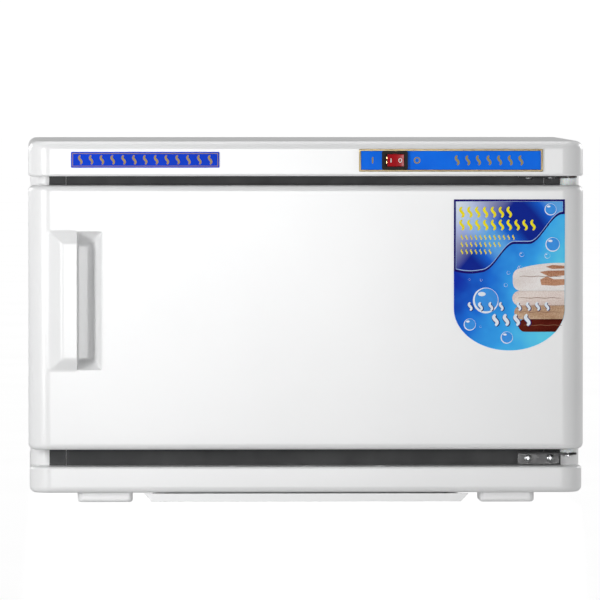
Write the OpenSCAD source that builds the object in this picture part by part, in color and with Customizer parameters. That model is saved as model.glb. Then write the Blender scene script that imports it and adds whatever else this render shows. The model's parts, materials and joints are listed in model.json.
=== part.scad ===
// Hot towel cabinet: an insulated steel box with an aluminium warming chamber, a side-hung plastic door,
// a moulded top cover that carries the mains switch, and a moulded base with a drip tray under it.
// Frame: +X to the right seen from the front, the door faces -Y, +Z up.
// The origin is on the surface the feet stand on, in the middle of the width and depth.

/* [Cabinet] */
// Width over the door, the top cover and the body
cabinet_w = 450; // [446:1:456]
// Depth of the sheet steel body, without the front frame and the door
body_d = 289; // [285:1:310]
// Radius of the vertical front corners of the door, cover and base
corner_r = 18; // [14:1:20]
// Wall of the plastic mouldings
wall = 2.5; // [2:0.25:3]
// Sheet thickness of the body, back panel and chamber
sheet = 1; // [0.8:0.1:1.2]

/* [Heights] */
// Height of the feet
foot_h = 8; // [7:0.5:10]
// Height of the base moulding
base_h = 21; // [20:1:24]
// Gap between the base and the door
low_gap = 14; // [14:1:16]
// Height of the door
door_h = 214; // [210:1:220]
// Gap between the door and the top cover
top_gap = 7.5; // [7:0.5:9]
// Height of the top cover
cover_h = 28.5; // [27:0.5:32]

/* [Door] */
// Thickness of the door, from its flat front to its rim
door_t = 30; // [29:1:34]
// Space between the door and the front frame, which the seal fills
seal_gap = 5; // [4.5:0.5:6]
// How far the grip stands out of the door
grip_h = 8; // [6:0.5:9]
// Length of the grip at its foot
grip_l = 112.5; // [100:0.5:120]
// Distance of the hinge axis from the door's right edge
hinge_inset = 12; // [11:0.5:13]
// Radius of the hinge pins
pin_r = 2.5; // [2:0.25:3]

/* [Chamber] */
// Inner width of the warming chamber
chamber_w = 350; // [330:5:350]
// Inner height of the warming chamber
chamber_h = 187; // [180:1:188]
// Inner depth of the warming chamber
chamber_d = 246; // [230:1:246]

/* [Switch] */
// Width of the switch's collar
collar_w = 21; // [20:0.5:22]
// Height of the switch's collar
collar_h = 15; // [14:0.5:16]
// Tilt of the rocker to each side of level
rocker_tilt = 10; // [8:1:11]

/* [Drip tray] */
// Width of the tray's face at its top edge
tray_w = 263; // [240:1:270]
// Depth of the tray from front to back
tray_d = 74; // [60:1:80]

/* [Hidden] */
$fn = 64;

half_w = cabinet_w / 2;
bezel_t = 2;                 // thickness of the front frame's plate
gland_out = 9;               // how far the cord gland stands out of the back
total_d = grip_h + door_t + seal_gap + bezel_t + body_d + sheet + gland_out;

// Planes from front to back
grip_y = -total_d / 2;
door_y = grip_y + grip_h;              // flat front of the door
door_back_y = door_y + door_t;         // rim of the door
frame_y = door_back_y + seal_gap;      // face of the front frame
body_y = frame_y + bezel_t;            // front of the steel body
body_back_y = body_y + body_d;
back_face_y = body_back_y + sheet;     // outer face of the back panel
cover_y = door_y + 1;                  // front of the top cover
base_y = door_y + 3;                   // front of the base

// Levels from the floor up
base_top = foot_h + base_h;
door_z = base_top + low_gap;
door_top = door_z + door_h;
cover_z = door_top + top_gap;
total_h = cover_z + cover_h;
door_mid = (door_z + door_top) / 2;

// Steel body
body_half = half_w - 1.5;
body_corner = 16;
body_rear_corner = 4;
return_x = 192;              // where the body's front return ends
rear_return_x = 205;         // where the body's rear return ends

// Chamber
chamber_z = door_mid - chamber_h / 2 + 0.5;
chamber_top = chamber_z + chamber_h;
chamber_x = chamber_w / 2;
chamber_back = body_y + chamber_d;
liner_flange = 14;
mouth_inset = 2.5;           // the frame's collar narrows the mouth by this much
mouth_x = chamber_x - mouth_inset;
mouth_z0 = chamber_z + mouth_inset;
mouth_z1 = chamber_top - mouth_inset;
collar_d = 11;

// Front frame
frame_x = half_w - 17;
seam_x = frame_x - 13.6;
seam_gap = 0.4;

// Hinges
hinge_x = half_w - hinge_inset;
hinge_y = door_y + 16;
bush_r = 5;
bush_collar_r = 6.8;
bush_l = 11;
bush_gap = 0.3;              // space between a bush's collar and the leaf next to it
running_gap = 0.06;          // radial clearance of a pin in its bush
leaf_t = 1.5;
low_collar_h = 3;            // collar of the lower bush, which carries the door
low_leaf_z = door_z - low_collar_h - bush_gap - leaf_t;
top_leaf_z = cover_z - leaf_t;
top_collar_h = top_leaf_z - door_top - bush_gap;
plate_x0 = hinge_x - 40;
plate_x1 = hinge_x - 6.5;
hinge_screw_x = [plate_x0 + 8.3, plate_x0 + 26.4];
low_screw_z = low_leaf_z - 3.7;
top_screw_y = hinge_y + 8;

// Grip and finger pocket, on the left of the door
grip_z = 163.7;              // middle of the grip
grip_x0 = -half_w + 16.4;    // foot of the grip's sloping flank
grip_x1 = grip_x0 + 10;      // top of that flank
grip_x2 = grip_x0 + 23;      // the grip's right side, where the pocket starts
grip_end = 9;                // slope of the grip's two ends
pocket_w = 19.8;
pocket_d = 17;
pocket_floor_w = 12.2;

// Switch and plates on the top cover
panel_x = 117;
panel_w = 149;
panel_h = 18.4;
panel_z = total_h - 15.7;
panel_t = 0.8;
trim_w = 1.65;
trim_t = 1.3;
switch_x = 71.5;
collar_t = 2;
housing_w = 19;
housing_h = 12.8;
housing_d = 16;
opening_w = 15.6;
opening_h = 10.6;
rocker_w = 13.8;
rocker_h = 9.8;
rocker_y = cover_y + 1.4;    // the rocker's axis
plate_face_y = cover_y - panel_t;
name_x = -130.5;
name_w = 120;
name_h = 12.8;
name_z = panel_z + 0.5;

// Drip tray
tray_top = foot_h - 0.6;
tray_bottom = 0.8;
tray_y = base_y + 1;
tray_slope = 6;
trough_x = 116;
flange_x = 121;
rail_gap = 0.5;

// Feet
foot_w = 44.6;
foot_d = 38;
foot_x = 162.8;
foot_front_y = base_y + 9;
foot_back_y = body_back_y - 9 - foot_d;

// Outline in plan with round front corners (rf) and rear corners (rb)
module plan(w, y0, y1, rf, rb) {
    translate([-w / 2, y0 + rf]) square([w, y1 - rb - y0 - rf]);
    translate([-w / 2 + rf, y0]) square([w - 2 * rf, rf + 1]);
    translate([-w / 2 + rb, y1 - rb - 1]) square([w - 2 * rb, rb + 1]);
    for (s = [-1, 1]) {
        intersection() {
            translate([s * (w / 2 - rf), y0 + rf]) circle(rf);
            translate([-w / 2, y0]) square([w, min(2 * rf, y1 - rb - y0)]);
        }
        translate([s * (w / 2 - rb), y1 - rb]) circle(rb);
    }
}

// Points of the plan above, anticlockwise from the front right corner, with every corner an arc of the same
// number of steps
corner_steps = 8;
function corner(cx, cy, r, from) =
    [for (k = [0:corner_steps]) let (a = from + 90 * k / corner_steps) [cx + r * cos(a), cy + r * sin(a)]];
function outline(w, y0, y1, rf, rb) = concat(
    corner(w / 2 - rf, y0 + rf, rf, -90), corner(w / 2 - rb, y1 - rb, rb, 0),
    corner(-w / 2 + rb, y1 - rb, rb, 90), corner(-w / 2 + rf, y0 + rf, rf, 180));

// Block with the plan above, whose lower and upper edges are rounded by r0 and r1; its rear face stays flat
// up to the edges when rear is 0
edge_angles = [0, 22.5, 45, 67.5, 90];
module rounded_block(w, y0, y1, rf, rb, z0, z1, r0, r1, rear = 1) {
    levels = concat(
        [for (i = [len(edge_angles) - 1:-1:0]) let (a = edge_angles[i])
            [z0 + r0 - r0 * sin(a), r0 * (1 - cos(a))]],
        [for (a = edge_angles) [z1 - r1 + r1 * sin(a), r1 * (1 - cos(a))]]);
    rings = [for (l = levels) let (d = l[1], back = rear * d)
        [for (p = outline(w - 2 * d, y0 + d, y1 - back, rf - d, max(rb - back, 0.3))) [p.x, p[1], l[0]]]];
    n = len(rings[0]);
    top = len(rings) - 1;
    polyhedron(
        [for (r = rings) each r],
        concat(
            [[for (k = [0:n - 1]) k], [for (k = [n - 1:-1:0]) top * n + k]],
            [for (i = [0:top - 1], k = [0:n - 1])
                let (a = i * n + k, b = i * n + (k + 1) % n) each [[a, a + n, b], [b, a + n, b + n]]]));
}

// Box between two corners
module block(a, b) {
    translate(a) cube(b - a);
}

// Cylinder along Y, from y0 to y1
module rod_y(x, z, y0, y1, r) {
    translate([x, y0, z]) rotate([-90, 0, 0]) cylinder(r = r, h = y1 - y0);
}

// Cylinder along X, from x0 to x1
module rod_x(y, z, x0, x1, r) {
    translate([x0, y, z]) rotate([0, 90, 0]) cylinder(r = r, h = x1 - x0);
}

// Cylinder along Z, from z0 to z1
module rod_z(x, y, z0, z1, r) {
    translate([x, y, z0]) cylinder(r = r, h = z1 - z0);
}

// Pan-head screw with a cross recess. The head's underside is at the origin and the shank runs along +Z
module screw(shank_r, shank_l, head_r, head_h) {
    difference() {
        union() {
            cylinder(r = shank_r, h = shank_l, $fn = 24);
            translate([0, 0, -head_h]) cylinder(r = head_r, h = head_h, $fn = 32);
        }
        for (a = [0, 90])
            rotate(a) translate([-head_r * 0.55, -0.35, -head_h - 1])
                cube([head_r * 1.1, 0.7, 1 + head_h * 0.6]);
    }
}

// Screw whose head faces the front (-Y)
module screw_back(x, y, z, shank_r, shank_l, head_r, head_h) {
    translate([x, y, z]) rotate([-90, 0, 0]) screw(shank_r, shank_l, head_r, head_h);
}

// Screw whose head faces the back (+Y)
module screw_front(x, y, z, shank_r, shank_l, head_r, head_h) {
    translate([x, y, z]) rotate([90, 0, 0]) screw(shank_r, shank_l, head_r, head_h);
}

// ---- Base ----

drain_x = [-60, 0, 60];
drain_y = base_y + 14;
foot_places = [for (sx = [-1, 1], y = [foot_front_y, foot_back_y]) [sx * foot_x, y + foot_d / 2]];

module base_pan() {
    w = cabinet_w - 2;
    back = back_face_y + 1.5;
    color("white") difference() {
        union() {
            difference() {
                rounded_block(w, base_y, back, corner_r, 8, foot_h, base_top, 5, 2);
                translate([0, 0, foot_h + wall]) linear_extrude(base_h - 2 * wall)
                    plan(w - 2 * wall, base_y + wall, back - wall, corner_r - wall, 5.5);
                block([-rear_return_x, body_y + 12, base_top - wall - 1],
                      [rear_return_x, body_back_y - 14, base_top + 1]);
            }
            for (x = drain_x) rod_z(x, drain_y, foot_h + 1, base_top - 0.5, 5);
            for (p = foot_places) rod_z(p.x, p.y, foot_h + 1, foot_h + 14, 5);
            for (p = corner_tabs) rod_z(p.x, p.y, base_top - 12, base_top - 1, 4.5);
        }
        for (x = drain_x) rod_z(x, drain_y, foot_h - 1, base_top + 1, 3);
        for (p = foot_places) rod_z(p.x, p.y, foot_h - 1, foot_h + 12, 1.6);
        for (p = corner_tabs) rod_z(p.x, p.y, base_top - 10, base_top + 1, 1.6);
    }
}

module foot(x, y) {
    difference() {
        translate([x, y, 0]) linear_extrude(foot_h) plan(foot_w, -foot_d / 2, foot_d / 2, 4, 4);
        rod_z(x, y, -1, foot_h + 1, 2.2);
        rod_z(x, y, -1, 4, 4.5);
    }
}

module feet() {
    color("whitesmoke") for (p = foot_places) foot(p.x, p.y);
}

module foot_screws() {
    color("silver") for (p = foot_places)
        translate([p.x, p.y, 4]) screw(1.5, 14, 3.6, 1.8);
}

// ---- Drip tray under the base ----

module drip_tray() {
    face_t = 3;
    top_x = tray_w / 2;
    trough_back = tray_y + tray_d;
    color("whitesmoke") {
        // face with sloping ends
        translate([0, tray_y + face_t, 0]) rotate([90, 0, 0]) linear_extrude(face_t)
            polygon([[-top_x, tray_top], [-top_x + tray_slope, tray_bottom],
                     [top_x - tray_slope, tray_bottom], [top_x, tray_top]]);
        difference() {
            block([-trough_x, tray_y + face_t, tray_bottom], [trough_x, trough_back, tray_top]);
            block([-trough_x + 1.2, tray_y + face_t + 0.01, tray_bottom + 1.2],
                  [trough_x - 1.2, trough_back - 1.2, tray_top + 1]);
        }
        for (s = [-1, 1])
            translate([s * (trough_x + flange_x) / 2, (tray_y + 12 + trough_back) / 2, tray_top - 0.9])
                cube([flange_x - trough_x + 0.02, trough_back - tray_y - 12, 1.2], center = true);
    }
}

module tray_guides() {
    y0 = tray_y + 12;
    y1 = tray_y + tray_d + 6;
    web = flange_x + rail_gap;
    color("whitesmoke") for (s = [-1, 1]) scale([s, 1, 1]) difference() {
        block([trough_x + 0.8, y0, tray_top - 3.9], [web + 2, y1, foot_h]);
        block([trough_x, y0 - 1, tray_top - 2], [web, y1 - 2, foot_h - 0.01]);
    }
}

// ---- Steel body ----

corner_tabs = [for (s = [-1, 1]) [s * 193, body_back_y - 7]];    // screws through the rear tabs

module side_panels() {
    color("white") difference() {
        union() {
            translate([0, 0, base_top]) linear_extrude(cover_z - base_top) difference() {
                plan(2 * body_half, body_y, body_back_y, body_corner, body_rear_corner);
                plan(2 * (body_half - sheet), body_y + sheet, body_back_y - sheet,
                     body_corner - sheet, body_rear_corner - sheet);
                translate([-return_x, body_y - 1]) square([2 * return_x, sheet + 2]);
                translate([-rear_return_x, body_back_y - sheet - 1]) square([2 * rear_return_x, sheet + 2]);
            }
            for (s = [-1, 1], z = [base_top, cover_z - sheet])
                block([s > 0 ? 183 : -body_half + 0.5, body_back_y - 14, z],
                      [s > 0 ? body_half - 0.5 : -183, body_back_y - sheet - 0.2, z + sheet]);
        }
        for (p = corner_tabs) rod_z(p.x, p.y, base_top - 1, cover_z + 1, 1.8);
        for (p = panel_screws) if (p.x != 0) rod_y(p.x, p[1], body_back_y - 3, body_back_y + 1, 1.4);
        for (x = hinge_screw_x) if (x > return_x - 2) rod_y(x, low_screw_z, body_y - 1, body_y + 3, 1.5);
    }
}

gland_x = -150;
gland_z = 52;
panel_screw_x = [-210, 0, 210];
panel_screw_z = [45, 147, 249];
panel_screws = [for (x = panel_screw_x, z = panel_screw_z) if (x != 0 || z != panel_screw_z[1]) [x, z]];
vent_n = 9;

module back_panel() {
    color("whitesmoke") difference() {
        block([-216, body_back_y, base_top + 3], [216, back_face_y, cover_z - 3]);
        rod_y(gland_x, gland_z, body_back_y - 1, back_face_y + 1, 7);
        for (p = panel_screws) rod_y(p.x, p[1], body_back_y - 1, back_face_y + 1, 1.8);
        for (s = [-1, 1], i = [0:vent_n - 1])
            translate([s * 95, body_back_y - 1, 190 + i * 6]) cube([70, 4, 2.6], center = true);
    }
    // top and bottom cross strips that the middle screws bite into
    color("whitesmoke") for (z = [panel_screw_z[0], panel_screw_z[2]])
        difference() {
            block([-rear_return_x + 0.5, body_back_y - sheet, z - 8],
                  [rear_return_x - 0.5, body_back_y, z + 8]);
            rod_y(0, z, body_back_y - 3, body_back_y + 1, 1.4);
            rod_y(gland_x, gland_z, body_back_y - 3, body_back_y + 1, 9);
        }
}

module back_panel_screws() {
    color("silver") for (p = panel_screws)
        screw_front(p.x, back_face_y, p[1], 1.3, 9, 3.4, 2);
}

module cord_gland() {
    color("dimgray") translate([gland_x, body_back_y, gland_z]) rotate([-90, 0, 0]) difference() {
        union() {
            translate([0, 0, -9]) cylinder(r = 6.8, h = 11);
            translate([0, 0, sheet]) cylinder(r = 9, h = 3);
            translate([0, 0, sheet + 2]) cylinder(r = 6, h = gland_out - 2);
        }
        translate([0, 0, -10]) cylinder(r = 3.7, h = 30);
    }
}

// ---- Front frame and chamber ----

module front_frame() {
    color([0.30, 0.31, 0.32]) difference() {
        union() {
            block([-seam_x + seam_gap / 2, frame_y, base_top], [seam_x - seam_gap / 2, body_y, cover_z]);
            block([-chamber_x + 0.2, frame_y, chamber_z + 0.2],
                  [chamber_x - 0.2, body_y + collar_d, chamber_top - 0.2]);
        }
        block([-mouth_x, frame_y - 1, mouth_z0], [mouth_x, body_y + collar_d + 1, mouth_z1]);
        for (x = hinge_screw_x) if (x < seam_x) rod_y(x, low_screw_z, frame_y - 1, body_y + 1, 1.5);
    }
}

module frame_side_trims() {
    color([0.30, 0.31, 0.32]) for (s = [-1, 1]) difference() {
        block([s > 0 ? seam_x + seam_gap / 2 : -frame_x, frame_y, base_top],
              [s > 0 ? frame_x : -seam_x - seam_gap / 2, body_y, cover_z]);
        for (x = hinge_screw_x) if (s > 0 && x > seam_x) rod_y(x, low_screw_z, frame_y - 1, body_y + 1, 1.5);
    }
}

module chamber_liner() {
    color("silver") difference() {
        union() {
            block([-chamber_x - sheet, body_y, chamber_z - sheet],
                  [chamber_x + sheet, chamber_back + sheet, chamber_top + sheet]);
            block([-chamber_x - sheet - liner_flange, body_y, chamber_z - sheet - liner_flange],
                  [chamber_x + sheet + liner_flange, body_y + sheet, chamber_top + sheet + liner_flange]);
        }
        block([-chamber_x, body_y - 1, chamber_z], [chamber_x, chamber_back, chamber_top]);
        for (s = [-1, 1], y = rivet_y)
            rod_x(y, rivet_z, s * (chamber_x + 0.5) - 2, s * (chamber_x + 0.5) + 2, 1.6);
    }
}

rail_z = 146;                // top of the shelf rails
rail_y0 = body_y + 16;
rail_y1 = chamber_back - 8;
rail_w = 12;
rivet_z = rail_z - 7;
rivet_y = [rail_y0 + 20, (rail_y0 + rail_y1) / 2, rail_y1 - 20];

module shelf_rails() {
    color("silver") for (s = [-1, 1]) difference() {
        union() {
            block([s > 0 ? chamber_x - rail_w : -chamber_x, rail_y0, rail_z - 1.2],
                  [s > 0 ? chamber_x : -chamber_x + rail_w, rail_y1, rail_z]);
            block([s > 0 ? chamber_x - 1.2 : -chamber_x, rail_y0, rail_z - 13],
                  [s > 0 ? chamber_x : -chamber_x + 1.2, rail_y1, rail_z]);
        }
        for (y = rivet_y) rod_x(y, rivet_z, s * chamber_x - 3, s * chamber_x + 3, 1.6);
    }
}

module rail_rivets() {
    color("silver") for (s = [-1, 1], y = rivet_y) {
        rod_x(y, rivet_z, s > 0 ? chamber_x - 1.2 : -chamber_x - sheet,
              s > 0 ? chamber_x + sheet : -chamber_x + 1.2, 1.5);
        rod_x(y, rivet_z, s > 0 ? chamber_x - 2.2 : -chamber_x + 1.2,
              s > 0 ? chamber_x - 1.2 : -chamber_x + 2.2, 3);
        rod_x(y, rivet_z, s > 0 ? chamber_x + sheet : -chamber_x - sheet - 0.8,
              s > 0 ? chamber_x + sheet + 0.8 : -chamber_x - sheet, 2.6);
    }
}

shelf_y0 = rail_y0 + 26;
shelf_y1 = chamber_back - 4;
shelf_x = chamber_x - 6;
shelf_rod = 2.2;             // side rods
cross_r = 1.7;
bar_r = 1.4;
bar_n = 15;

module wire_shelf() {
    z = rail_z + shelf_rod + 0.05;
    inset = 2.5;
    color("silver") union() {
        for (s = [-1, 1]) rod_y(s * shelf_x, z, shelf_y0, shelf_y1, shelf_rod);
        for (y = [shelf_y0 + inset, (shelf_y0 + shelf_y1) / 2, shelf_y1 - inset])
            rod_x(y, z, -shelf_x, shelf_x, cross_r);
        for (i = [1:bar_n]) {
            x = -shelf_x + 2 * shelf_x * i / (bar_n + 1);
            rod_y(x, z + cross_r + bar_r - 0.5, shelf_y0 + 0.3, shelf_y1 - 0.3, bar_r);
        }
    }
}

module water_tray() {
    y0 = rail_y0 + 12;
    y1 = chamber_back - 3;
    x = chamber_x - 7;
    z = chamber_z + 0.05;
    h = 12;
    color("gainsboro") difference() {
        union() {
            block([-x, y0, z], [x, y1, z + h]);
            block([-x - 2, y0 - 4, z + h - sheet], [x + 2, y1 + 2, z + h]);
        }
        block([-x + sheet, y0 + sheet, z + sheet], [x - sheet, y1 - sheet, z + h + 1]);
    }
}

// ---- Insulation and heating ----

foam_x = chamber_x + sheet + 1;
side_foam = 30;
foam_y0 = body_y + sheet + 0.5;
foam_z0 = base_top + 1;
foam_z1 = cover_z - 2;
heater_t = 1.8;
heater_x = 150;
heater_y = [-92, 84];
heater_z = chamber_z - sheet - heater_t;
cover_plate_x = heater_x + 9;
heater_screw_y = [heater_y[0] - 5, heater_y[1] + 5];
stat_x = -62;
cutout_x = -14;
stat_z = 118;
foam_back_y = chamber_back + sheet + 16;
lead_x = [40, 60];           // the heater's two leads
lead_z = 47.5;
lead_end_y = 60;             // where they turn up into the heater

module insulation_sides() {
    color("khaki") difference() {
        for (s = [-1, 1])
            block([s > 0 ? foam_x : -foam_x - side_foam, foam_y0, foam_z0],
                  [s > 0 ? foam_x + side_foam : -foam_x, foam_back_y, foam_z1]);
        for (x = hinge_screw_x) rod_y(x, low_screw_z, foam_y0 - 1, foam_y0 + 8, 2);
    }
}

module insulation_top() {
    color("khaki") block([-foam_x + 0.5, foam_y0, chamber_top + sheet + 0.2],
                         [foam_x - 0.5, chamber_back + sheet, foam_z1]);
}

module insulation_bottom() {
    color("khaki") difference() {
        block([-foam_x + 0.5, foam_y0, foam_z0],
              [foam_x - 0.5, chamber_back + sheet, heater_z - sheet - 2.2]);
        for (x = lead_x)
            block([x - 2.5, lead_end_y - 4, lead_z - 3], [x + 2.5, chamber_back + 2, chamber_z]);
    }
}

module insulation_back() {
    color("khaki") difference() {
        block([-foam_x + 0.5, chamber_back + sheet + 0.2, foam_z0], [foam_x - 0.5, foam_back_y, foam_z1]);
        for (x = [stat_x, cutout_x])
            block([x - 16, chamber_back, stat_z - 12], [x + 16, foam_back_y + 1, stat_z + 12]);
        for (x = lead_x) block([x - 3, chamber_back, foam_z0 - 1], [x + 3, foam_back_y + 1, chamber_z]);
    }
}

module heater_element() {
    color("saddlebrown") difference() {
        block([-heater_x, heater_y[0], heater_z], [heater_x, heater_y[1], heater_z + heater_t]);
        for (x = [-1:1]) rod_z(x * 90, (heater_y[0] + heater_y[1]) / 2, heater_z - 1, heater_z + 3, 4);
    }
}

heater_screws_at = [for (x = [-1:1], y = heater_screw_y) [x * 120, y]];

module heater_cover_plate() {
    color("silver") difference() {
        block([-cover_plate_x, heater_y[0] - 10, heater_z - sheet],
              [cover_plate_x, heater_y[1] + 10, heater_z]);
        for (p = heater_screws_at) rod_z(p.x, p.y, heater_z - 3, heater_z + 1, 1.7);
        for (x = lead_x) rod_z(x, lead_end_y, heater_z - 3, heater_z + 1, 2);
    }
}

// Weld studs under the chamber with their nuts, which hold the heater's cover plate
module heater_screws() {
    color("silver") for (p = heater_screws_at) {
        rod_z(p.x, p.y, heater_z - sheet - 2, chamber_z - sheet, 1.5);
        difference() {
            translate([p.x, p.y, heater_z - sheet - 1.8]) cylinder(r = 3.2, h = 1.8, $fn = 6);
            rod_z(p.x, p.y, heater_z - sheet - 3, heater_z, 1.5);
        }
    }
}

// Disc thermostat on a mounting ear, with two blade terminals; it sits on the back of the chamber
module disc_switch(x, cap) {
    y = chamber_back + sheet;
    rod_y(x, stat_z, y, y + 6, 8);
    block([x - 12, y, stat_z - 4], [x + 12, y + 0.8, stat_z + 4]);
    rod_y(x, stat_z, y + 5.9, y + 10, 6.5);
    for (s = [-1, 1])
        block([x + s * 4 - 0.4, y + 9.9, stat_z - 2.4], [x + s * 4 + 0.4, y + 18, stat_z + 2.4]);
    if (cap) rod_y(x, stat_z, y + 9.9, y + 11.5, 1.8);
}

module thermostat() {
    color("tan") disc_switch(stat_x, false);
}

module thermal_cutout() {
    color("black") disc_switch(cutout_x, true);
}

block_x = -105;
block_z = 62;
earth_at = [block_x + 40, block_z];

module terminal_block() {
    y1 = body_back_y;
    color("ivory") difference() {
        block([block_x - 18, y1 - 12, block_z - 8], [block_x + 18, y1, block_z + 8]);
        for (i = [-1:1]) {
            rod_y(block_x + i * 11, block_z, y1 - 13, y1 - 5, 2.6);
            rod_z(block_x + i * 11, y1 - 6, block_z - 9, block_z + 9, 1.8);
        }
    }
}

// ---- Wiring ----

// Point on a smooth curve through the points p, at segment i and share t
function spline_at(p, i, t) =
    let (n = len(p), a = p[max(i - 1, 0)], b = p[i], c = p[i + 1], d = p[min(i + 2, n - 1)])
    0.5 * ((2 * b) + (c - a) * t + (2 * a - 5 * b + 4 * c - d) * t * t + (3 * b - a - 3 * c + d) * t * t * t);
function smooth(p, steps) =
    [for (i = [0:len(p) - 2], k = [0:steps - 1]) spline_at(p, i, k / steps), p[len(p) - 1]];
function unit(v) = v / norm(v);
function ring(p, i, r, sides) =
    let (n = len(p), t = unit(p[min(i + 1, n - 1)] - p[max(i - 1, 0)]),
         u = unit(cross(t, [0.31, 0.52, 0.8])), v = cross(t, u))
    [for (k = [0:sides - 1]) p[i] + r * (cos(360 * k / sides) * u + sin(360 * k / sides) * v)];

// Round wire of radius r through the points p
module wire(p, r, sides = 8) {
    path = smooth(p, 3);
    n = len(path);
    points = [for (i = [0:n - 1]) each ring(path, i, r, sides)];
    faces = concat(
        [[for (k = [0:sides - 1]) sides - 1 - k]],
        [for (i = [0:n - 2], k = [0:sides - 1])
            let (a = i * sides + k, b = i * sides + (k + 1) % sides) [a, b, b + sides, a + sides]],
        [[for (k = [0:sides - 1]) (n - 1) * sides + k]]);
    polyhedron(points, faces);
}

wire_r = 1.1;
loom_y = body_back_y - 8;
pin_y = body_back_y - 6;             // the terminal block's contacts
blade_y = chamber_back + sheet + 18; // end of the thermostat's blades
roof_z = cover_z + 14;               // where the loom runs inside the top cover
term_y = cover_y + housing_d + 8;    // end of the switch's terminals

// Live and neutral from the block up into the cover and forward to the switch
to_switch = [
    for (s = [0, 1]) let (x = block_x + 11 * s, side = switch_x - 4 + 8 * s, top = roof_z - 4 * s) [
        [x, pin_y, block_z + 8.3], [x, loom_y - 4, block_z + 30], [x, loom_y - 4, 160],
        [x + 2, loom_y - 4, 235], [x + 4, loom_y - 12, top - 6], [x + 12, loom_y - 40, top],
        [x + 60, 60, top], [side, -20, top], [side, -90, top], [side, -125, top - 3],
        [side, term_y + 4, panel_z + 3], [side, term_y + 0.5, panel_z]
    ]
];

// From the block through the cut-out and the thermostat to the heater
blade_end = blade_y + 1.2;
heater_end = heater_z - 0.6;
to_heater = [
    [[block_x - 11, pin_y, block_z + 8.3], [block_x - 11, loom_y - 6, block_z + 22],
     [stat_x - 8, loom_y - 8, stat_z - 6], [stat_x - 4, blade_y + 4, stat_z], [stat_x - 4, blade_end, stat_z]],
    [[stat_x + 4, blade_end, stat_z], [stat_x + 8, blade_y + 5, stat_z + 8],
     [(stat_x + cutout_x) / 2, blade_y + 6, stat_z + 12],
     [cutout_x - 8, blade_y + 5, stat_z + 8], [cutout_x - 4, blade_end, stat_z]],
    [[cutout_x + 4, blade_end, stat_z], [cutout_x + 12, blade_y + 5, stat_z - 12],
     [lead_x[0] - 6, foam_back_y + 6, 80], [lead_x[0], foam_back_y + 3, 54],
     [lead_x[0], foam_back_y - 8, lead_z], [lead_x[0], chamber_back - 6, lead_z],
     [lead_x[0], lead_end_y + 10, lead_z], [lead_x[0], lead_end_y, lead_z + 3],
     [lead_x[0], lead_end_y, heater_end]],
    [[block_x + 11, pin_y, block_z - 8.3], [block_x + 16, loom_y - 6, block_z - 20],
     [lead_x[1] - 40, loom_y - 6, 40], [lead_x[1] - 6, foam_back_y + 6, 44],
     [lead_x[1], foam_back_y - 8, lead_z], [lead_x[1], chamber_back - 6, lead_z],
     [lead_x[1], lead_end_y + 10, lead_z], [lead_x[1], lead_end_y, lead_z + 3],
     [lead_x[1], lead_end_y, heater_end]],
    [[block_x, pin_y, block_z - 8.3], [block_x + 4, pin_y - 2, block_z - 13],
     [block_x + 22, pin_y - 2, block_z - 14], [earth_at.x - 2, body_back_y - 5, earth_at[1] - 9],
     [earth_at.x, body_back_y - 1.9, earth_at[1] - 5.4]]
];

// Earthing stud in the back panel with its ring terminal and nut
module earth_stud() {
    color("goldenrod") {
        rod_y(earth_at.x, earth_at[1], body_back_y - 8, body_back_y, 1.5);
        difference() {
            rod_y(earth_at.x, earth_at[1], body_back_y - 0.8, body_back_y, 4);
            rod_y(earth_at.x, earth_at[1], body_back_y - 1, body_back_y + 1, 1.5);
        }
        translate([earth_at.x, body_back_y - 3.2, earth_at[1]]) rotate([-90, 0, 0]) difference() {
            cylinder(r = 3.1, h = 2.4, $fn = 6);
            translate([0, 0, -1]) cylinder(r = 1.5, h = 5);
        }
    }
}

module wiring() {
    color("firebrick") {
        for (p = to_switch) wire(p, wire_r);
        for (p = to_heater) wire(p, wire_r);
    }
}

// ---- Top cover with its plates and switch ----

module top_cover() {
    back = back_face_y + 1.5;
    color("white") difference() {
        union() {
            difference() {
                rounded_block(cabinet_w, cover_y, back, corner_r, 8, cover_z, total_h, 2, 7);
                translate([0, 0, cover_z + wall]) linear_extrude(cover_h - 2 * wall)
                    plan(cabinet_w - 2 * wall, cover_y + wall, back - wall, corner_r - wall, 5.5);
                block([-rear_return_x, body_y + 12, cover_z - 1],
                      [rear_return_x, body_back_y - 14, cover_z + wall + 1]);
            }
            for (p = corner_tabs) rod_z(p.x, p.y, cover_z + 1, cover_z + 12, 4.5);
            for (x = hinge_screw_x) rod_z(x, top_screw_y, cover_z + 1, cover_z + 12, 4);
        }
        for (p = corner_tabs) rod_z(p.x, p.y, cover_z - 1, cover_z + 10, 1.6);
        for (x = hinge_screw_x) rod_z(x, top_screw_y, cover_z - 1, cover_z + 10, 1.6);
        block([switch_x - housing_w / 2 - 0.15, cover_y - 1, panel_z - housing_h / 2 - 0.15],
              [switch_x + housing_w / 2 + 0.15, cover_y + wall + 1, panel_z + housing_h / 2 + 0.15]);
    }
}

// Screws through the side panels' upper rear tabs into the cover's bosses
module cover_screws() {
    color("silver") for (p = corner_tabs)
        translate([p.x, p.y, cover_z - sheet]) screw(1.5, 9, 3.2, 1.8);
}

// Screws through the lower rear tabs into the base's bosses
module base_screws() {
    color("silver") for (p = corner_tabs)
        translate([p.x, p.y, base_top + sheet]) mirror([0, 0, 1]) screw(1.5, 9, 3.2, 1.8);
}

// Flat plate on the cover's front, with a corner radius
module front_plate(x, z, w, h, y0, y1, r) {
    translate([x, y1, z]) rotate([90, 0, 0]) linear_extrude(y1 - y0) plan(w, -h / 2, h / 2, r, r);
}

module name_plate() {
    color("royalblue") front_plate(name_x, name_z, name_w, name_h, cover_y - panel_t, cover_y, 0.8);
}

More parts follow.
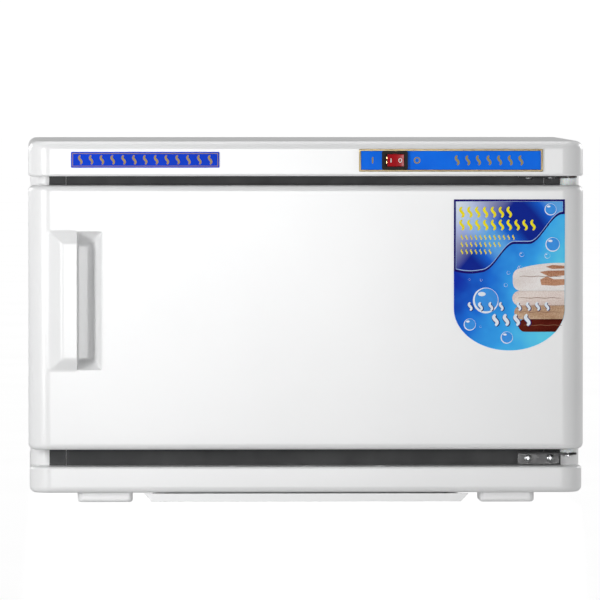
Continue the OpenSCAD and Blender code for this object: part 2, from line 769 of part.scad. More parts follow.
module panel_plate() {
    color("dodgerblue") difference() {
        front_plate(panel_x, panel_z, panel_w - 2 * trim_w, panel_h - 2 * trim_w, plate_face_y, cover_y, 0.4);
        block([switch_x - housing_w / 2 - 0.15, plate_face_y - 1, panel_z - housing_h / 2 - 0.15],
              [switch_x + housing_w / 2 + 0.15, cover_y + 1, panel_z + housing_h / 2 + 0.15]);
    }
}

module panel_trim() {
    color("darkgoldenrod") difference() {
        front_plate(panel_x, panel_z, panel_w, panel_h, cover_y - trim_t, cover_y, 0.8);
        block([panel_x - panel_w / 2 + trim_w, cover_y - 5, panel_z - panel_h / 2 + trim_w],
              [panel_x + panel_w / 2 - trim_w, cover_y + 1, panel_z + panel_h / 2 - trim_w]);
    }
}

module switch_housing() {
    collar_y = plate_face_y - collar_t;
    back = cover_y + housing_d;
    color([0.12, 0.12, 0.13]) difference() {
        union() {
            front_plate(switch_x, panel_z, collar_w, collar_h, collar_y, plate_face_y, 1.5);
            block([switch_x - housing_w / 2, plate_face_y - 0.01, panel_z - housing_h / 2],
                  [switch_x + housing_w / 2, back, panel_z + housing_h / 2]);
        }
        block([switch_x - opening_w / 2, collar_y - 1, panel_z - opening_h / 2],
              [switch_x + opening_w / 2, back - 2.5, panel_z + opening_h / 2]);
        rod_z(switch_x, rocker_y, panel_z - housing_h / 2 - 1, panel_z + housing_h / 2 + 1,
              1.5 + running_gap);
        for (s = [-1, 0, 1])
            block([switch_x + s * 6 - 0.45, back - 4, panel_z - 2.5],
                  [switch_x + s * 6 + 0.45, back + 1, panel_z + 2.5]);
    }
}

module switch_terminals() {
    back = cover_y + housing_d;
    color("silver") for (s = [-1, 0, 1])
        block([switch_x + s * 6 - 0.4, back - 3.5, panel_z - 2.4],
              [switch_x + s * 6 + 0.4, back + 8, panel_z + 2.4]);
}

module switch_lamp() {
    color("orange") rod_x(cover_y + 9, panel_z, switch_x - opening_w / 2, switch_x + opening_w / 2, 1.3);
}

// The rocker lies with its left end out, which is the off position
module switch_rocker() {
    end = 4.4;
    middle = 3.6;
    half = rocker_w / 2;
    color("crimson") translate([switch_x, rocker_y, panel_z]) rotate([0, 0, rocker_tilt]) {
        translate([0, 0, -rocker_h / 2]) linear_extrude(rocker_h)
            polygon([[-half, -end], [0, -middle], [half, -end], [half - 1, 0.5],
                     [2.4, 2.2], [-2.4, 2.2], [-half + 1, 0.5]]);
        rod_z(0, 0, -rocker_h / 2 - 1.3, rocker_h / 2 + 1.3, 1.5);
    }
}

// ---- Hinges ----

// Leaf between the bracket's back edge and the round end that holds the pin. Its left end is w wide
module hinge_leaf(z, y_back, w) {
    translate([0, 0, z]) linear_extrude(leaf_t) {
        polygon([[plate_x0, y_back], [plate_x0, y_back - w], [hinge_x - 2.6, hinge_y - 6.5],
                 [hinge_x + 7, hinge_y], [hinge_x + 6, hinge_y + 4], [plate_x1, y_back]]);
        translate([hinge_x, hinge_y]) circle(7);
    }
}

module lower_hinge_bracket() {
    plate_t = 2;
    color([0.13, 0.13, 0.14]) difference() {
        union() {
            hinge_leaf(low_leaf_z, frame_y, 3);
            // upright plate with its two lower corners rounded
            translate([(plate_x0 + plate_x1) / 2, frame_y, low_leaf_z]) rotate([90, 0, 0])
                linear_extrude(plate_t)
                    plan(plate_x1 - plate_x0, base_top + 0.6 - low_leaf_z, leaf_t, 2, 0.1);
        }
        for (x = hinge_screw_x) rod_y(x, low_screw_z, frame_y - 5, frame_y + 1, 1.7);
        rod_z(hinge_x, hinge_y, low_leaf_z - 1, low_leaf_z + leaf_t + 1, pin_r);
    }
}

module upper_hinge_bracket() {
    y_back = frame_y - 1.5;
    color([0.13, 0.13, 0.14]) difference() {
        hinge_leaf(top_leaf_z, y_back, 16);
        for (x = hinge_screw_x) rod_z(x, top_screw_y, top_leaf_z - 1, cover_z + 1, 1.7);
        rod_z(hinge_x, hinge_y, top_leaf_z - 1, cover_z + 1, pin_r);
    }
}

pin_l = 10;                  // how far a pin reaches into the door

module hinge_pins() {
    color("silver") {
        rod_z(hinge_x, hinge_y, low_leaf_z, door_z + pin_l, pin_r);
        rod_z(hinge_x, hinge_y, low_leaf_z - 1.2, low_leaf_z, pin_r + 1.5);
        rod_z(hinge_x, hinge_y, door_top - pin_l, cover_z, pin_r);
    }
}

module hinge_screws() {
    color("silver") for (x = hinge_screw_x) {
        screw_back(x, frame_y - 2, low_screw_z, 1.4, 10, 2.9, 1.6);
        translate([x, top_screw_y, top_leaf_z]) screw(1.4, 9, 2.9, 1.6);
    }
}

// Flanged bush that stands in the door's upper (dir -1) or lower (dir 1) end, with a collar outside it
module hinge_bush(face, dir, collar) {
    translate([hinge_x, hinge_y, face]) scale([1, 1, dir]) difference() {
        union() {
            translate([0, 0, -collar]) cylinder(r = bush_collar_r, h = collar);
            translate([0, 0, -0.1]) cylinder(r = bush_r, h = bush_l + 0.1);
        }
        translate([0, 0, -collar - 1]) cylinder(r = pin_r + running_gap, h = bush_l + collar);
    }
}

module hinge_bushes() {
    color("lightgray") {
        hinge_bush(door_z, 1, low_collar_h);
        hinge_bush(door_top, -1, top_collar_h);
    }
}

// ---- Door ----

magnet_x = -201.5;
magnet_z = [84, 236];
magnet_r = 5;
strike_t = 0.8;
door_screws_at = [for (s = [-1, 1], z = [64, 150, 226]) [s * 207, z]];
door_corner = 5;             // rounding of the door's upper and lower edges
inner_t = 2;                 // thickness of the door's inner panel

// Space cut out of the door for the fingers, grown by g on every side
module finger_pocket(g) {
    z0 = grip_z - grip_l / 2;
    z1 = grip_z + grip_l / 2;
    hull() {
        block([grip_x2 - g, door_y, z0 - g], [grip_x2 + pocket_w + g, door_y + 0.1, z1 + g]);
        block([grip_x2 - g, door_y + pocket_d + g - 0.1, z0 + 8 - g],
              [grip_x2 + pocket_floor_w + g, door_y + pocket_d + g, z1 - 11 + g]);
    }
}

module grip() {
    z0 = grip_z - grip_l / 2;
    z1 = grip_z + grip_l / 2;
    hull() {
        block([grip_x0, door_y, z0], [grip_x2, door_y + 0.5, z1]);
        block([grip_x1, grip_y, z0 + grip_end], [grip_x2, grip_y + 0.01, z1 - grip_end]);
    }
}

module door_shell() {
    color("white") difference() {
        union() {
            difference() {
                rounded_block(cabinet_w, door_y, door_back_y, corner_r, 0.6,
                              door_z, door_top, door_corner, door_corner, 0);
                translate([0, 0, door_z + wall]) linear_extrude(door_h - 2 * wall)
                    plan(cabinet_w - 2 * wall, door_y + wall, door_back_y + 2, corner_r - wall, 0.6);
            }
            grip();
            intersection() {
                finger_pocket(wall);
                block([-half_w, door_y + 0.5, door_z + 5], [0, door_back_y - 4, door_top - 5]);
            }
            for (z = [door_z + 1, door_top - 13]) rod_z(hinge_x, hinge_y, z, z + 12, 8);
            for (p = door_screws_at) rod_y(p.x, p[1], door_y + 1, door_back_y - inner_t, 4);
        }
        finger_pocket(0);
        block([grip_x2, door_y - 20, grip_z - grip_l / 2],
              [grip_x2 + pocket_w, door_y + 0.1, grip_z + grip_l / 2]);
        rod_z(hinge_x, hinge_y, door_z - 1, door_z + 11.2, bush_r);
        rod_z(hinge_x, hinge_y, door_top - 11.2, door_top + 1, bush_r);
        for (p = door_screws_at) rod_y(p.x, p[1], door_y + 10, door_back_y, 1.5);
    }
}

module door_inner_panel() {
    x = half_w - wall - 0.2;
    z0 = door_z + wall + 0.2;
    z1 = door_top - wall - 0.2;
    color("white") difference() {
        union() {
            block([-x, door_back_y - inner_t, z0], [x, door_back_y, z1]);
            for (z = magnet_z) rod_y(magnet_x, z, door_back_y - 0.1, frame_y - strike_t - 1, magnet_r + 1.5);
        }
        for (p = door_screws_at) rod_y(p.x, p[1], door_back_y - inner_t - 1, door_back_y + 1, 1.8);
        for (z = magnet_z) rod_y(magnet_x, z, door_back_y - inner_t - 1, frame_y, magnet_r);
    }
}

module door_liner_plate() {
    color("silver") block([-mouth_x + 1, door_back_y, mouth_z0 + 1], [mouth_x - 1, door_back_y + 0.8, mouth_z1 - 1]);
}

module door_insulation() {
    g = wall + 0.3;
    color("khaki") difference() {
        translate([0, 0, door_z + g]) linear_extrude(door_h - 2 * g)
            plan(cabinet_w - 2 * g, door_y + g, door_back_y - inner_t - 0.2, corner_r - g, 0.6);
        block([grip_x2 - g - 0.3, door_y, grip_z - grip_l / 2 - g - 0.3],
              [grip_x2 + pocket_w + g + 0.5, door_back_y, grip_z + grip_l / 2 + g + 0.3]);
        for (z = [door_z, door_top - 13.5]) rod_z(hinge_x, hinge_y, z, z + 13.5, 8.3);
        block([hinge_x, hinge_y - 9, door_z], [half_w, hinge_y + 9, door_z + 13.5]);
        block([hinge_x, hinge_y - 9, door_top - 13.5], [half_w, hinge_y + 9, door_top]);
        for (p = door_screws_at) rod_y(p.x, p[1], door_y, door_back_y, 4.2);
        for (z = magnet_z) rod_y(magnet_x, z, door_back_y - inner_t - 8, door_back_y, magnet_r + 0.2);
    }
}

seal_in = 5;                 // distance of the seal from the chamber's mouth
seal_w = 9;

// Hollow seal round the chamber's mouth, a little short of the frame's face
module door_gasket() {
    x0 = mouth_x + seal_in;
    z0 = mouth_z0 - seal_in;
    z1 = mouth_z1 + seal_in;
    y1 = frame_y - 0.3;
    color([0.25, 0.25, 0.26]) difference() {
        block([-x0 - seal_w, door_back_y, z0 - seal_w], [x0 + seal_w, y1, z1 + seal_w]);
        block([-x0, door_back_y - 1, z0], [x0, y1 + 1, z1]);
        // the seal's inner channel
        difference() {
            block([-x0 - seal_w + 1.5, door_back_y + 1.4, z0 - seal_w + 1.5],
                  [x0 + seal_w - 1.5, y1 - 1.1, z1 + seal_w - 1.5]);
            block([-x0 - 1.5, door_back_y - 1, z0 - 1.5], [x0 + 1.5, y1 + 1, z1 + 1.5]);
        }
    }
}

module door_magnets() {
    color("dimgray") for (z = magnet_z)
        rod_y(magnet_x, z, door_back_y - inner_t - 6, frame_y - strike_t - 0.6, magnet_r);
}

module strike_plates() {
    color("silver") for (z = magnet_z)
        rod_y(magnet_x, z, frame_y - strike_t, frame_y, magnet_r + 1);
}

module door_panel_screws() {
    color("silver") for (p = door_screws_at)
        screw_front(p.x, door_back_y, p[1], 1.4, 12, 3.2, 1.6);
}

label_x = 164.3;
label_w = 90;
label_z0 = 123.3;
label_z1 = 245.7;
label_curve = 34;            // height of the label's half-elliptical foot

module door_label() {
    a = label_w / 2;
    color("dodgerblue") translate([label_x, door_y, 0]) rotate([90, 0, 0]) linear_extrude(0.2)
        polygon(concat(
            [for (t = [180:6:360]) [a * cos(t), label_z0 + label_curve + label_curve * sin(t)]],
            [[a, label_z1], [-a, label_z1]]));
}

base_pan();
feet();
foot_screws();
drip_tray();
tray_guides();
side_panels();
back_panel();
back_panel_screws();
cord_gland();
front_frame();
frame_side_trims();
chamber_liner();
shelf_rails();
rail_rivets();
wire_shelf();
water_tray();
insulation_sides();
insulation_top();
insulation_bottom();
insulation_back();
heater_element();
heater_cover_plate();
heater_screws();
thermostat();
thermal_cutout();
terminal_block();
earth_stud();
wiring();
top_cover();
cover_screws();
base_screws();
name_plate();
panel_plate();
panel_trim();
switch_housing();
switch_terminals();
switch_lamp();
switch_rocker();
upper_hinge_bracket();
lower_hinge_bracket();
hinge_pins();
hinge_screws();
strike_plates();
door_shell();
door_inner_panel();
door_liner_plate();
door_insulation();
door_gasket();
door_magnets();
door_label();
door_panel_screws();
hinge_bushes();
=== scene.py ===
"""Hot towel cabinet: the looks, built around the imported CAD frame.

Lengths are in millimetres until a mesh is made, and +X is right, -Y is the front and +Z is up, as in the CAD.
"""
import json
import math

import bmesh
import bpy
from mathutils import Matrix, Vector


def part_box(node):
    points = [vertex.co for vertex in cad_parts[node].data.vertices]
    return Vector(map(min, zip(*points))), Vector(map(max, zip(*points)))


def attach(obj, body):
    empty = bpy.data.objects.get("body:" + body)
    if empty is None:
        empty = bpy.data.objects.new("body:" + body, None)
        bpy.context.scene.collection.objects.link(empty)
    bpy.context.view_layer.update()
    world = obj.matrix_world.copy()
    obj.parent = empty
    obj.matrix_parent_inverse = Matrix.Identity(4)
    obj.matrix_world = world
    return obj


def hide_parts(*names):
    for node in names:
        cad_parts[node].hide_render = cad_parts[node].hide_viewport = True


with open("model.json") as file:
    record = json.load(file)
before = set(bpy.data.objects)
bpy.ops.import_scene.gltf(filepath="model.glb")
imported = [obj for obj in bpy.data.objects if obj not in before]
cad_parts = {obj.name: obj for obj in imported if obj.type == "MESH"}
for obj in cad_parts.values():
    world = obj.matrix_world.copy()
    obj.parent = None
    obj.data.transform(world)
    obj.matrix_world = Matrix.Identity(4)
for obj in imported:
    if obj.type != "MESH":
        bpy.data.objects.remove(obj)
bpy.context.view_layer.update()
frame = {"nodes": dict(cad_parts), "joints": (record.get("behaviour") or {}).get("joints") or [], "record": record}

MM = 0.001
SLOT_OF = {part["node"]: part["material_slot"] for part in frame["record"]["subparts"]}
BODY_OF = {
    node: body
    for body, nodes in frame["record"]["behaviour"]["bodies"].items()
    for node in nodes
}


def cos_deg(angle):
    return math.cos(math.radians(angle))


def sin_deg(angle):
    return math.sin(math.radians(angle))


def box_mm(node):
    """Lowest and highest corner of a CAD node, in millimetres."""
    low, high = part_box(node)
    return low / MM, high / MM


# ---------------------------------------------------------------- materials


class Shader:
    """A node material with one Principled surface. Its patterns lie in object coordinates, in metres."""

    def __init__(self, name, **sockets):
        self.material = bpy.data.materials.new(name)
        self.material.use_nodes = True
        self.tree = self.material.node_tree
        self.surface = next(n for n in self.tree.nodes if n.type == "BSDF_PRINCIPLED")
        for socket, value in sockets.items():
            self.surface.inputs[socket.replace("_", " ")].default_value = value
        self.place = self.add("TexCoord").outputs["Object"]

    def add(self, kind, **settings):
        node = self.tree.nodes.new("ShaderNode" + kind)
        for key, value in settings.items():
            setattr(node, key, value)
        return node

    def link(self, source, node, socket):
        self.tree.links.new(source, node.inputs[socket])

    def stretched(self, stretch):
        mapping = self.add("Mapping")
        mapping.inputs["Scale"].default_value = stretch
        self.link(self.place, mapping, "Vector")
        return mapping.outputs["Vector"]

    def noise(self, scale, detail=3.0, stretch=None):
        node = self.add("TexNoise")
        node.inputs["Scale"].default_value = scale
        node.inputs["Detail"].default_value = detail
        self.link(self.stretched(stretch) if stretch else self.place, node, "Vector")
        return node.outputs[0]

    def span(self, value, low, high, start=0.3, stop=0.7):
        node = self.add("MapRange")
        for socket, number in (("From Min", start), ("From Max", stop), ("To Min", low), ("To Max", high)):
            node.inputs[socket].default_value = number
        self.link(value, node, "Value")
        return node.outputs["Result"]

    def math(self, operation, a, b):
        node = self.add("Math", operation=operation)
        for index, value in enumerate((a, b)):
            if isinstance(value, (int, float)):
                node.inputs[index].default_value = value
            else:
                self.tree.links.new(value, node.inputs[index])
        return node.outputs[0]

    def ramp(self, value, *stops):
        """Colours by value: each stop is (place, colour)."""
        node = self.add("ValToRGB")
        elements = node.color_ramp.elements
        while len(elements) < len(stops):
            elements.new(0.5)
        for element, (place, colour) in zip(elements, stops):
            element.position = place
            element.color = (*colour, 1.0)
        self.link(value, node, "Fac")
        return node.outputs["Color"]

    def mix(self, share, a, b):
        node = self.add("Mix", data_type="RGBA")
        for value, socket in ((share, 0), (a, 6), (b, 7)):
            if isinstance(value, (int, float)):
                node.inputs[socket].default_value = value
            elif isinstance(value, tuple):
                node.inputs[socket].default_value = (*value, 1.0)
            else:
                self.tree.links.new(value, node.inputs[socket])
        return node.outputs[2]

    def colour(self, output):
        self.link(output, self.surface, "Base Color")
        return self

    def roughness(self, low, high, scale, stretch=None):
        self.link(self.span(self.noise(scale, 4.0, stretch), low, high), self.surface, "Roughness")
        return self

    def relief(self, *layers):
        """Bump from layers of (height in mm, noise scale per metre, stretch or None)."""
        normal = None
        for height, scale, stretch in layers:
            bump = self.add("Bump")
            bump.inputs["Distance"].default_value = height * MM
            self.link(self.noise(scale, 2.0, stretch), bump, "Height")
            if normal is not None:
                self.link(normal, bump, "Normal")
            normal = bump.outputs["Normal"]
        self.link(normal, self.surface, "Normal")
        return self


def grained(name, dark, light, grain, rough, rough_grain, relief, stretch=None, **sockets):
    """A material whose colour wanders between dark and light, with uneven gloss and a fine relief."""
    shader = Shader(name, **sockets)
    shader.colour(shader.ramp(shader.noise(grain, 5.0, stretch), (0.35, dark), (0.65, light)))
    shader.roughness(*rough, rough_grain, stretch)
    shader.relief(*relief)
    return shader


BRUSH_X = (0.03, 1.0, 1.0)
BRUSH_XY = (0.04, 0.04, 1.0)
BRUSH_Y = (1.0, 0.03, 1.0)
ORANGE_PEEL = (0.003, 700, None)
FINE_GRAIN = (0.02, 2600, None)


def make_materials():
    """One material for each of the record's slots."""
    table = {
        "white_plastic": grained(
            "white_plastic", (0.80, 0.803, 0.806), (0.825, 0.828, 0.830), 9, (0.30, 0.30), 45,
            [(0.0015, 110, None), (0.008, 14, None)], IOR=1.49),
        "white_steel": grained(
            "white_steel", (0.78, 0.782, 0.785), (0.81, 0.812, 0.814), 14, (0.28, 0.38), 60,
            [ORANGE_PEEL, (0.03, 20, None)]),
        # frame_paint's near-black colour is painted shade: it stands in for the shadow in the deep gaps above and
        # below the door.
        "frame_paint": grained(
            "frame_paint", (0.034, 0.035, 0.037), (0.048, 0.049, 0.051), 30, (0.46, 0.56), 80,
            [(0.01, 1500, None)], Specular_IOR_Level=0.3),
        "black_steel": grained(
            "black_steel", (0.010, 0.010, 0.011), (0.022, 0.022, 0.024), 120, (0.24, 0.40), 200,
            [(0.02, 1200, None)]),
        "liner_aluminium": grained(
            "liner_aluminium", (0.74, 0.75, 0.76), (0.79, 0.80, 0.81), 700, (0.26, 0.34), 900,
            [(0.003, 1500, BRUSH_XY)], BRUSH_XY, Metallic=1.0),
        "tray_aluminium": grained(
            "tray_aluminium", (0.62, 0.63, 0.65), (0.74, 0.75, 0.76), 40, (0.30, 0.42), 300,
            [(0.01, 900, BRUSH_X)], Metallic=1.0),
        "shelf_chrome": grained(
            "shelf_chrome", (0.78, 0.79, 0.80), (0.86, 0.87, 0.88), 60, (0.06, 0.14), 90,
            [(0.01, 160, None)], Metallic=1.0),
        "zinc_screws": grained(
            "zinc_screws", (0.52, 0.53, 0.54), (0.72, 0.73, 0.73), 350, (0.22, 0.40), 500,
            [(0.01, 1800, None)], Metallic=1.0),
        "foam": grained(
            "foam", (0.55, 0.50, 0.30), (0.78, 0.73, 0.50), 240, (0.85, 0.95), 60,
            [(0.5, 420, (1.0, 1.0, 0.25)), (1.0, 60, None)]),
        "mica": grained(
            "mica", (0.30, 0.20, 0.12), (0.46, 0.34, 0.22), 130, (0.35, 0.6), 200,
            [(0.05, 500, None)]),
        "spreader": grained(
            "spreader", (0.55, 0.56, 0.57), (0.68, 0.69, 0.70), 60, (0.30, 0.45), 200,
            [(0.01, 900, BRUSH_Y)], Metallic=1.0),
        "bakelite": grained(
            "bakelite", (0.030, 0.022, 0.018), (0.055, 0.040, 0.032), 300, (0.25, 0.4), 300,
            [(0.01, 1200, None)]),
        "ceramic_body": grained(
            "ceramic_body", (0.66, 0.60, 0.48), (0.76, 0.71, 0.60), 200, (0.35, 0.5), 300,
            [(0.02, 900, None)]),
        "block_nylon": grained(
            "block_nylon", (0.72, 0.70, 0.60), (0.80, 0.78, 0.69), 120, (0.35, 0.5), 200,
            [FINE_GRAIN], Subsurface_Weight=0.1),
        "brass_parts": grained(
            "brass_parts", (0.60, 0.42, 0.16), (0.76, 0.58, 0.27), 200, (0.2, 0.35), 400,
            [(0.01, 1500, None)], Metallic=1.0),
        "wire_cover": grained(
            "wire_cover", (0.42, 0.03, 0.02), (0.55, 0.05, 0.03), 90, (0.35, 0.5), 300,
            [(0.02, 900, None)]),
        "gland_plastic": grained(
            "gland_plastic", (0.018, 0.018, 0.019), (0.032, 0.032, 0.034), 200, (0.38, 0.5), 200,
            [FINE_GRAIN]),
        "name_blue": grained(
            "name_blue", (0.004, 0.045, 0.56), (0.006, 0.055, 0.64), 60, (0.34, 0.42), 120,
            [(0.004, 900, None)], Specular_IOR_Level=0.02),
        "panel_blue": grained(
            "panel_blue", (0.004, 0.15, 0.86), (0.006, 0.18, 0.92), 50, (0.34, 0.42), 120,
            [(0.004, 900, None)], Specular_IOR_Level=0.02),
        "trim_gold": grained(
            "trim_gold", (0.22, 0.17, 0.09), (0.30, 0.24, 0.13), 200, (0.36, 0.46), 400,
            [(0.006, 1600, BRUSH_X)], BRUSH_X, Metallic=0.85),
        "switch_black": grained(
            "switch_black", (0.010, 0.009, 0.009), (0.018, 0.016, 0.016), 300, (0.42, 0.55), 300,
            [FINE_GRAIN], Specular_IOR_Level=0.12),
        # rocker_red's faint red emission is a painted glow: the rocker cap gives no light of its own.
        "rocker_red": grained(
            "rocker_red", (0.34, 0.003, 0.008), (0.46, 0.006, 0.012), 90, (0.26, 0.34), 200,
            [(0.006, 500, None)], Specular_IOR_Level=0.2, Subsurface_Weight=0.15,
            Emission_Color=(1.0, 0.02, 0.03, 1.0), Emission_Strength=0.05),
        "lamp_glass": grained(
            "lamp_glass", (0.80, 0.40, 0.20), (0.90, 0.55, 0.30), 200, (0.05, 0.12), 300,
            [(0.01, 400, None)], Transmission_Weight=0.7),
        "bush_nylon": grained(
            "bush_nylon", (0.70, 0.70, 0.69), (0.78, 0.78, 0.77), 160, (0.38, 0.5), 200,
            [FINE_GRAIN], Subsurface_Weight=0.15),
        "seal_rubber": grained(
            "seal_rubber", (0.045, 0.045, 0.047), (0.075, 0.075, 0.078), 90, (0.5, 0.68), 220,
            [(0.03, 900, None), (0.15, 60, None)]),
        "magnet_dark": grained(
            "magnet_dark", (0.03, 0.03, 0.032), (0.06, 0.06, 0.064), 300, (0.4, 0.6), 300,
            [(0.03, 900, None)], Metallic=0.3),
        "label_print": label_base(),
    }
    return {slot: shader.material for slot, shader in table.items()}


def label_base():
    """The label's blue field: deep at its left, azure in the middle, pale towards its foot."""
    low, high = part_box("door_label")
    shader = Shader("label_print", Specular_IOR_Level=0.02)
    axes = shader.add("SeparateXYZ")
    shader.link(shader.place, axes, "Vector")
    across = shader.span(axes.outputs["X"], 0.0, 1.0, low.x, high.x)
    down = shader.span(axes.outputs["Z"], 1.0, 0.0, low.z, high.z)
    ripple = shader.math("MULTIPLY", shader.span(shader.noise(45, 2.0), -0.5, 0.5), 0.18)
    slant = shader.math("ADD", shader.math("MULTIPLY", across, 0.62), shader.math("MULTIPLY", down, 0.38))
    tone = shader.math("ADD", slant, ripple)
    shader.colour(shader.ramp(
        tone, (0.14, (0.004, 0.030, 0.44)), (0.36, (0.012, 0.170, 0.76)),
        (0.60, (0.045, 0.42, 0.95)), (0.86, (0.12, 0.68, 0.95))))
    shader.roughness(0.34, 0.42, 200)
    shader.relief((0.003, 900, None))
    return shader


def glow_panel():
    """The label's upper panel: deep blue crossed by pale diagonal glows, palest at its upper left."""
    low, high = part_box("door_label")
    shader = Shader("label_glow", Specular_IOR_Level=0.02)
    axes = shader.add("SeparateXYZ")
    shader.link(shader.place, axes, "Vector")
    across = shader.span(axes.outputs["X"], 0.0, 1.0, low.x, high.x)
    rise = shader.span(axes.outputs["Z"], 0.0, 1.0, (low.z + high.z) / 2, high.z)
    diagonal = shader.math("ADD", across, shader.math("MULTIPLY", rise, -0.55))
    bands = shader.add("TexWave", wave_type="BANDS", bands_direction="DIAGONAL")
    bands.inputs["Scale"].default_value = 7.5
    bands.inputs["Distortion"].default_value = 1.6
    bands.inputs["Detail"].default_value = 1.0
    bands.inputs["Phase Offset"].default_value = 1.1
    shader.link(shader.place, bands, "Vector")
    stops = (0.15, (0.003, 0.020, 0.30)), (0.62, (0.008, 0.13, 0.70)), (0.98, (0.12, 0.42, 0.88))
    blue = shader.ramp(bands.outputs["Fac"], *stops)
    corner = shader.span(diagonal, 1.0, 0.0, -0.55, 0.02)
    shader.colour(shader.mix(corner, blue, (0.86, 0.88, 0.94)))
    shader.roughness(0.34, 0.42, 200)
    shader.relief((0.003, 900, None))
    return shader.material


def printed(name, colour, spread=0.06, **sockets):
    """Printing ink of one colour, with a faint unevenness."""
    dark = tuple(c * (1 - spread) for c in colour)
    shader = grained(
        name, dark, colour, 260, (0.34, 0.42), 260, [(0.003, 900, None)], Specular_IOR_Level=0.02, **sockets)
    return shader.material


def terry(name, dark, light):
    """A printed picture of towelling: small loops and soft folds."""
    shader = Shader(name, Roughness=0.6, Specular_IOR_Level=0.02)
    loops = shader.noise(900, 3.0)
    folds = shader.noise(70, 3.0, (0.35, 1.0, 1.0))
    shader.colour(shader.ramp(
        shader.math("ADD", shader.math("MULTIPLY", loops, 0.45), shader.math("MULTIPLY", folds, 0.55)),
        (0.36, dark), (0.60, light)))
    shader.relief((0.01, 900, None))
    return shader.material


MATERIALS = make_materials()


# ---------------------------------------------------------------- mesh tools


def set_material(obj, material):
    obj.data.materials.clear()
    obj.data.materials.append(material)


def finish_mesh(mesh, sharp_deg=32):
    """Faces outwards, smooth shading with sharp edges kept."""
    bm = bmesh.new()
    bm.from_mesh(mesh)
    bmesh.ops.recalc_face_normals(bm, faces=bm.faces[:])
    bm.to_mesh(mesh)
    bm.free()
    mesh.shade_smooth()
    mesh.set_sharp_from_angle(angle=math.radians(sharp_deg))


def new_object(name, verts, faces, sharp_deg=32):
    mesh = bpy.data.meshes.new(name)
    mesh.from_pydata([(x * MM, y * MM, z * MM) for x, y, z in verts], [], faces)
    finish_mesh(mesh, sharp_deg)
    obj = bpy.data.objects.new(name, mesh)
    bpy.context.scene.collection.objects.link(obj)
    return obj


def add_modifier(obj, kind, **settings):
    modifier = obj.modifiers.new(kind.title(), kind)
    for key, value in settings.items():
        setattr(modifier, key, value)
    return modifier


def even_normals(obj):
    """Flat faces stay flat next to rounded edges."""
    add_modifier(obj, "WEIGHTED_NORMAL", keep_sharp=True, weight=100)


def bevelled(obj, width, segments=3, angle_deg=35):
    add_modifier(obj, "BEVEL", width=width * MM, segments=segments, limit_method="ANGLE",
                 angle_limit=math.radians(angle_deg), miter_outer="MITER_ARC", use_clamp_overlap=True)
    even_normals(obj)
    return obj


def cut(obj, cutters):
    """Takes the cutters' shapes out of obj and removes them."""
    for cutter in cutters:
        add_modifier(obj, "BOOLEAN", operation="DIFFERENCE", solver="EXACT", object=cutter)
        graph = bpy.context.evaluated_depsgraph_get()
        mesh = bpy.data.meshes.new_from_object(obj.evaluated_get(graph))
        obj.modifiers.clear()
        obj.data = mesh
        bpy.data.objects.remove(cutter)
    obj.data.shade_smooth()
    obj.data.set_sharp_from_angle(angle=math.radians(32))
    return obj


def place_piece(obj, material, body, slot, *nodes):
    """Gives a piece its material and its body, and hides the CAD nodes that it stands for."""
    set_material(obj, material)
    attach(obj, body)
    if nodes:
        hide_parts(*nodes)
    return obj


def stands_for(obj, node):
    slot = SLOT_OF[node]
    return place_piece(obj, MATERIALS[slot], BODY_OF[node], slot, node)


def block(name, low, high):
    (x0, y0, z0), (x1, y1, z1) = low, high
    verts = [(x, y, z) for z in (z0, z1) for y in (y0, y1) for x in (x0, x1)]
    faces = [(0, 2, 3, 1), (4, 5, 7, 6), (0, 1, 5, 4), (2, 6, 7, 3), (0, 4, 6, 2), (1, 3, 7, 5)]
    return new_object(name, verts, faces)


def prism(name, outline, start, stop, axis="Y", sharp_deg=32):
    """A plane outline pushed from start to stop along an axis. Outlines for Y are (x, z), for Z (x, y)."""
    put = {"Y": lambda a, b, d: (a, d, b), "Z": lambda a, b, d: (a, b, d)}[axis]
    count = len(outline)
    verts = [put(a, b, depth) for depth in (start, stop) for a, b in outline]
    faces = [tuple(range(count)), tuple(range(2 * count - 1, count - 1, -1))]
    faces += [(k, (k + 1) % count, count + (k + 1) % count, count + k) for k in range(count)]
    return new_object(name, verts, faces, sharp_deg)


def turned(name, profile, centre, axis, steps=48):
    """A profile of (radius, distance) turned about an axis through centre. Its ends are closed."""
    axis = Vector(axis).normalized()
    side = axis.orthogonal().normalized()
    other = axis.cross(side)
    verts, faces = [], []
    for radius, distance in profile:
        for k in range(steps):
            angle = 2 * math.pi * k / steps
            outward = side * math.cos(angle) + other * math.sin(angle)
            verts.append(Vector(centre) + axis * distance + outward * radius)
    for i in range(len(profile) - 1):
        for k in range(steps):
            a, b = i * steps + k, i * steps + (k + 1) % steps
            faces.append((a, b, b + steps, a + steps))
    faces.append(tuple(range(steps)))
    faces.append(tuple(range((len(profile) - 1) * steps, len(profile) * steps)))
    return new_object(name, verts, faces)


def arc(cx, cy, rx, ry, start_deg, stop_deg, steps):
    return [
        (cx + rx * cos_deg(a), cy + ry * sin_deg(a))
        for a in (start_deg + (stop_deg - start_deg) * k / steps for k in range(steps + 1))
    ]


def rounded_rect(x0, y0, x1, y1, radius, steps=8):
    r = radius
    return (
        arc(x1 - r, y0 + r, r, r, -90, 0, steps) + arc(x1 - r, y1 - r, r, r, 0, 90, steps)
        + arc(x0 + r, y1 - r, r, r, 90, 180, steps) + arc(x0 + r, y0 + r, r, r, 180, 270, steps)
    )


def loft(name, rings, sharp_deg=32):
    """Closed outlines of equal length joined one to the next, with the first and the last one filled."""
    count = len(rings[0])
    verts = [point for ring in rings for point in ring]
    faces = [tuple(range(count)), tuple(range((len(rings) - 1) * count, len(rings) * count))]
    for i in range(len(rings) - 1):
        for k in range(count):
            a, b = i * count + k, i * count + (k + 1) % count
            faces.append((a, b, b + count, a + count))
    return new_object(name, verts, faces, sharp_deg)


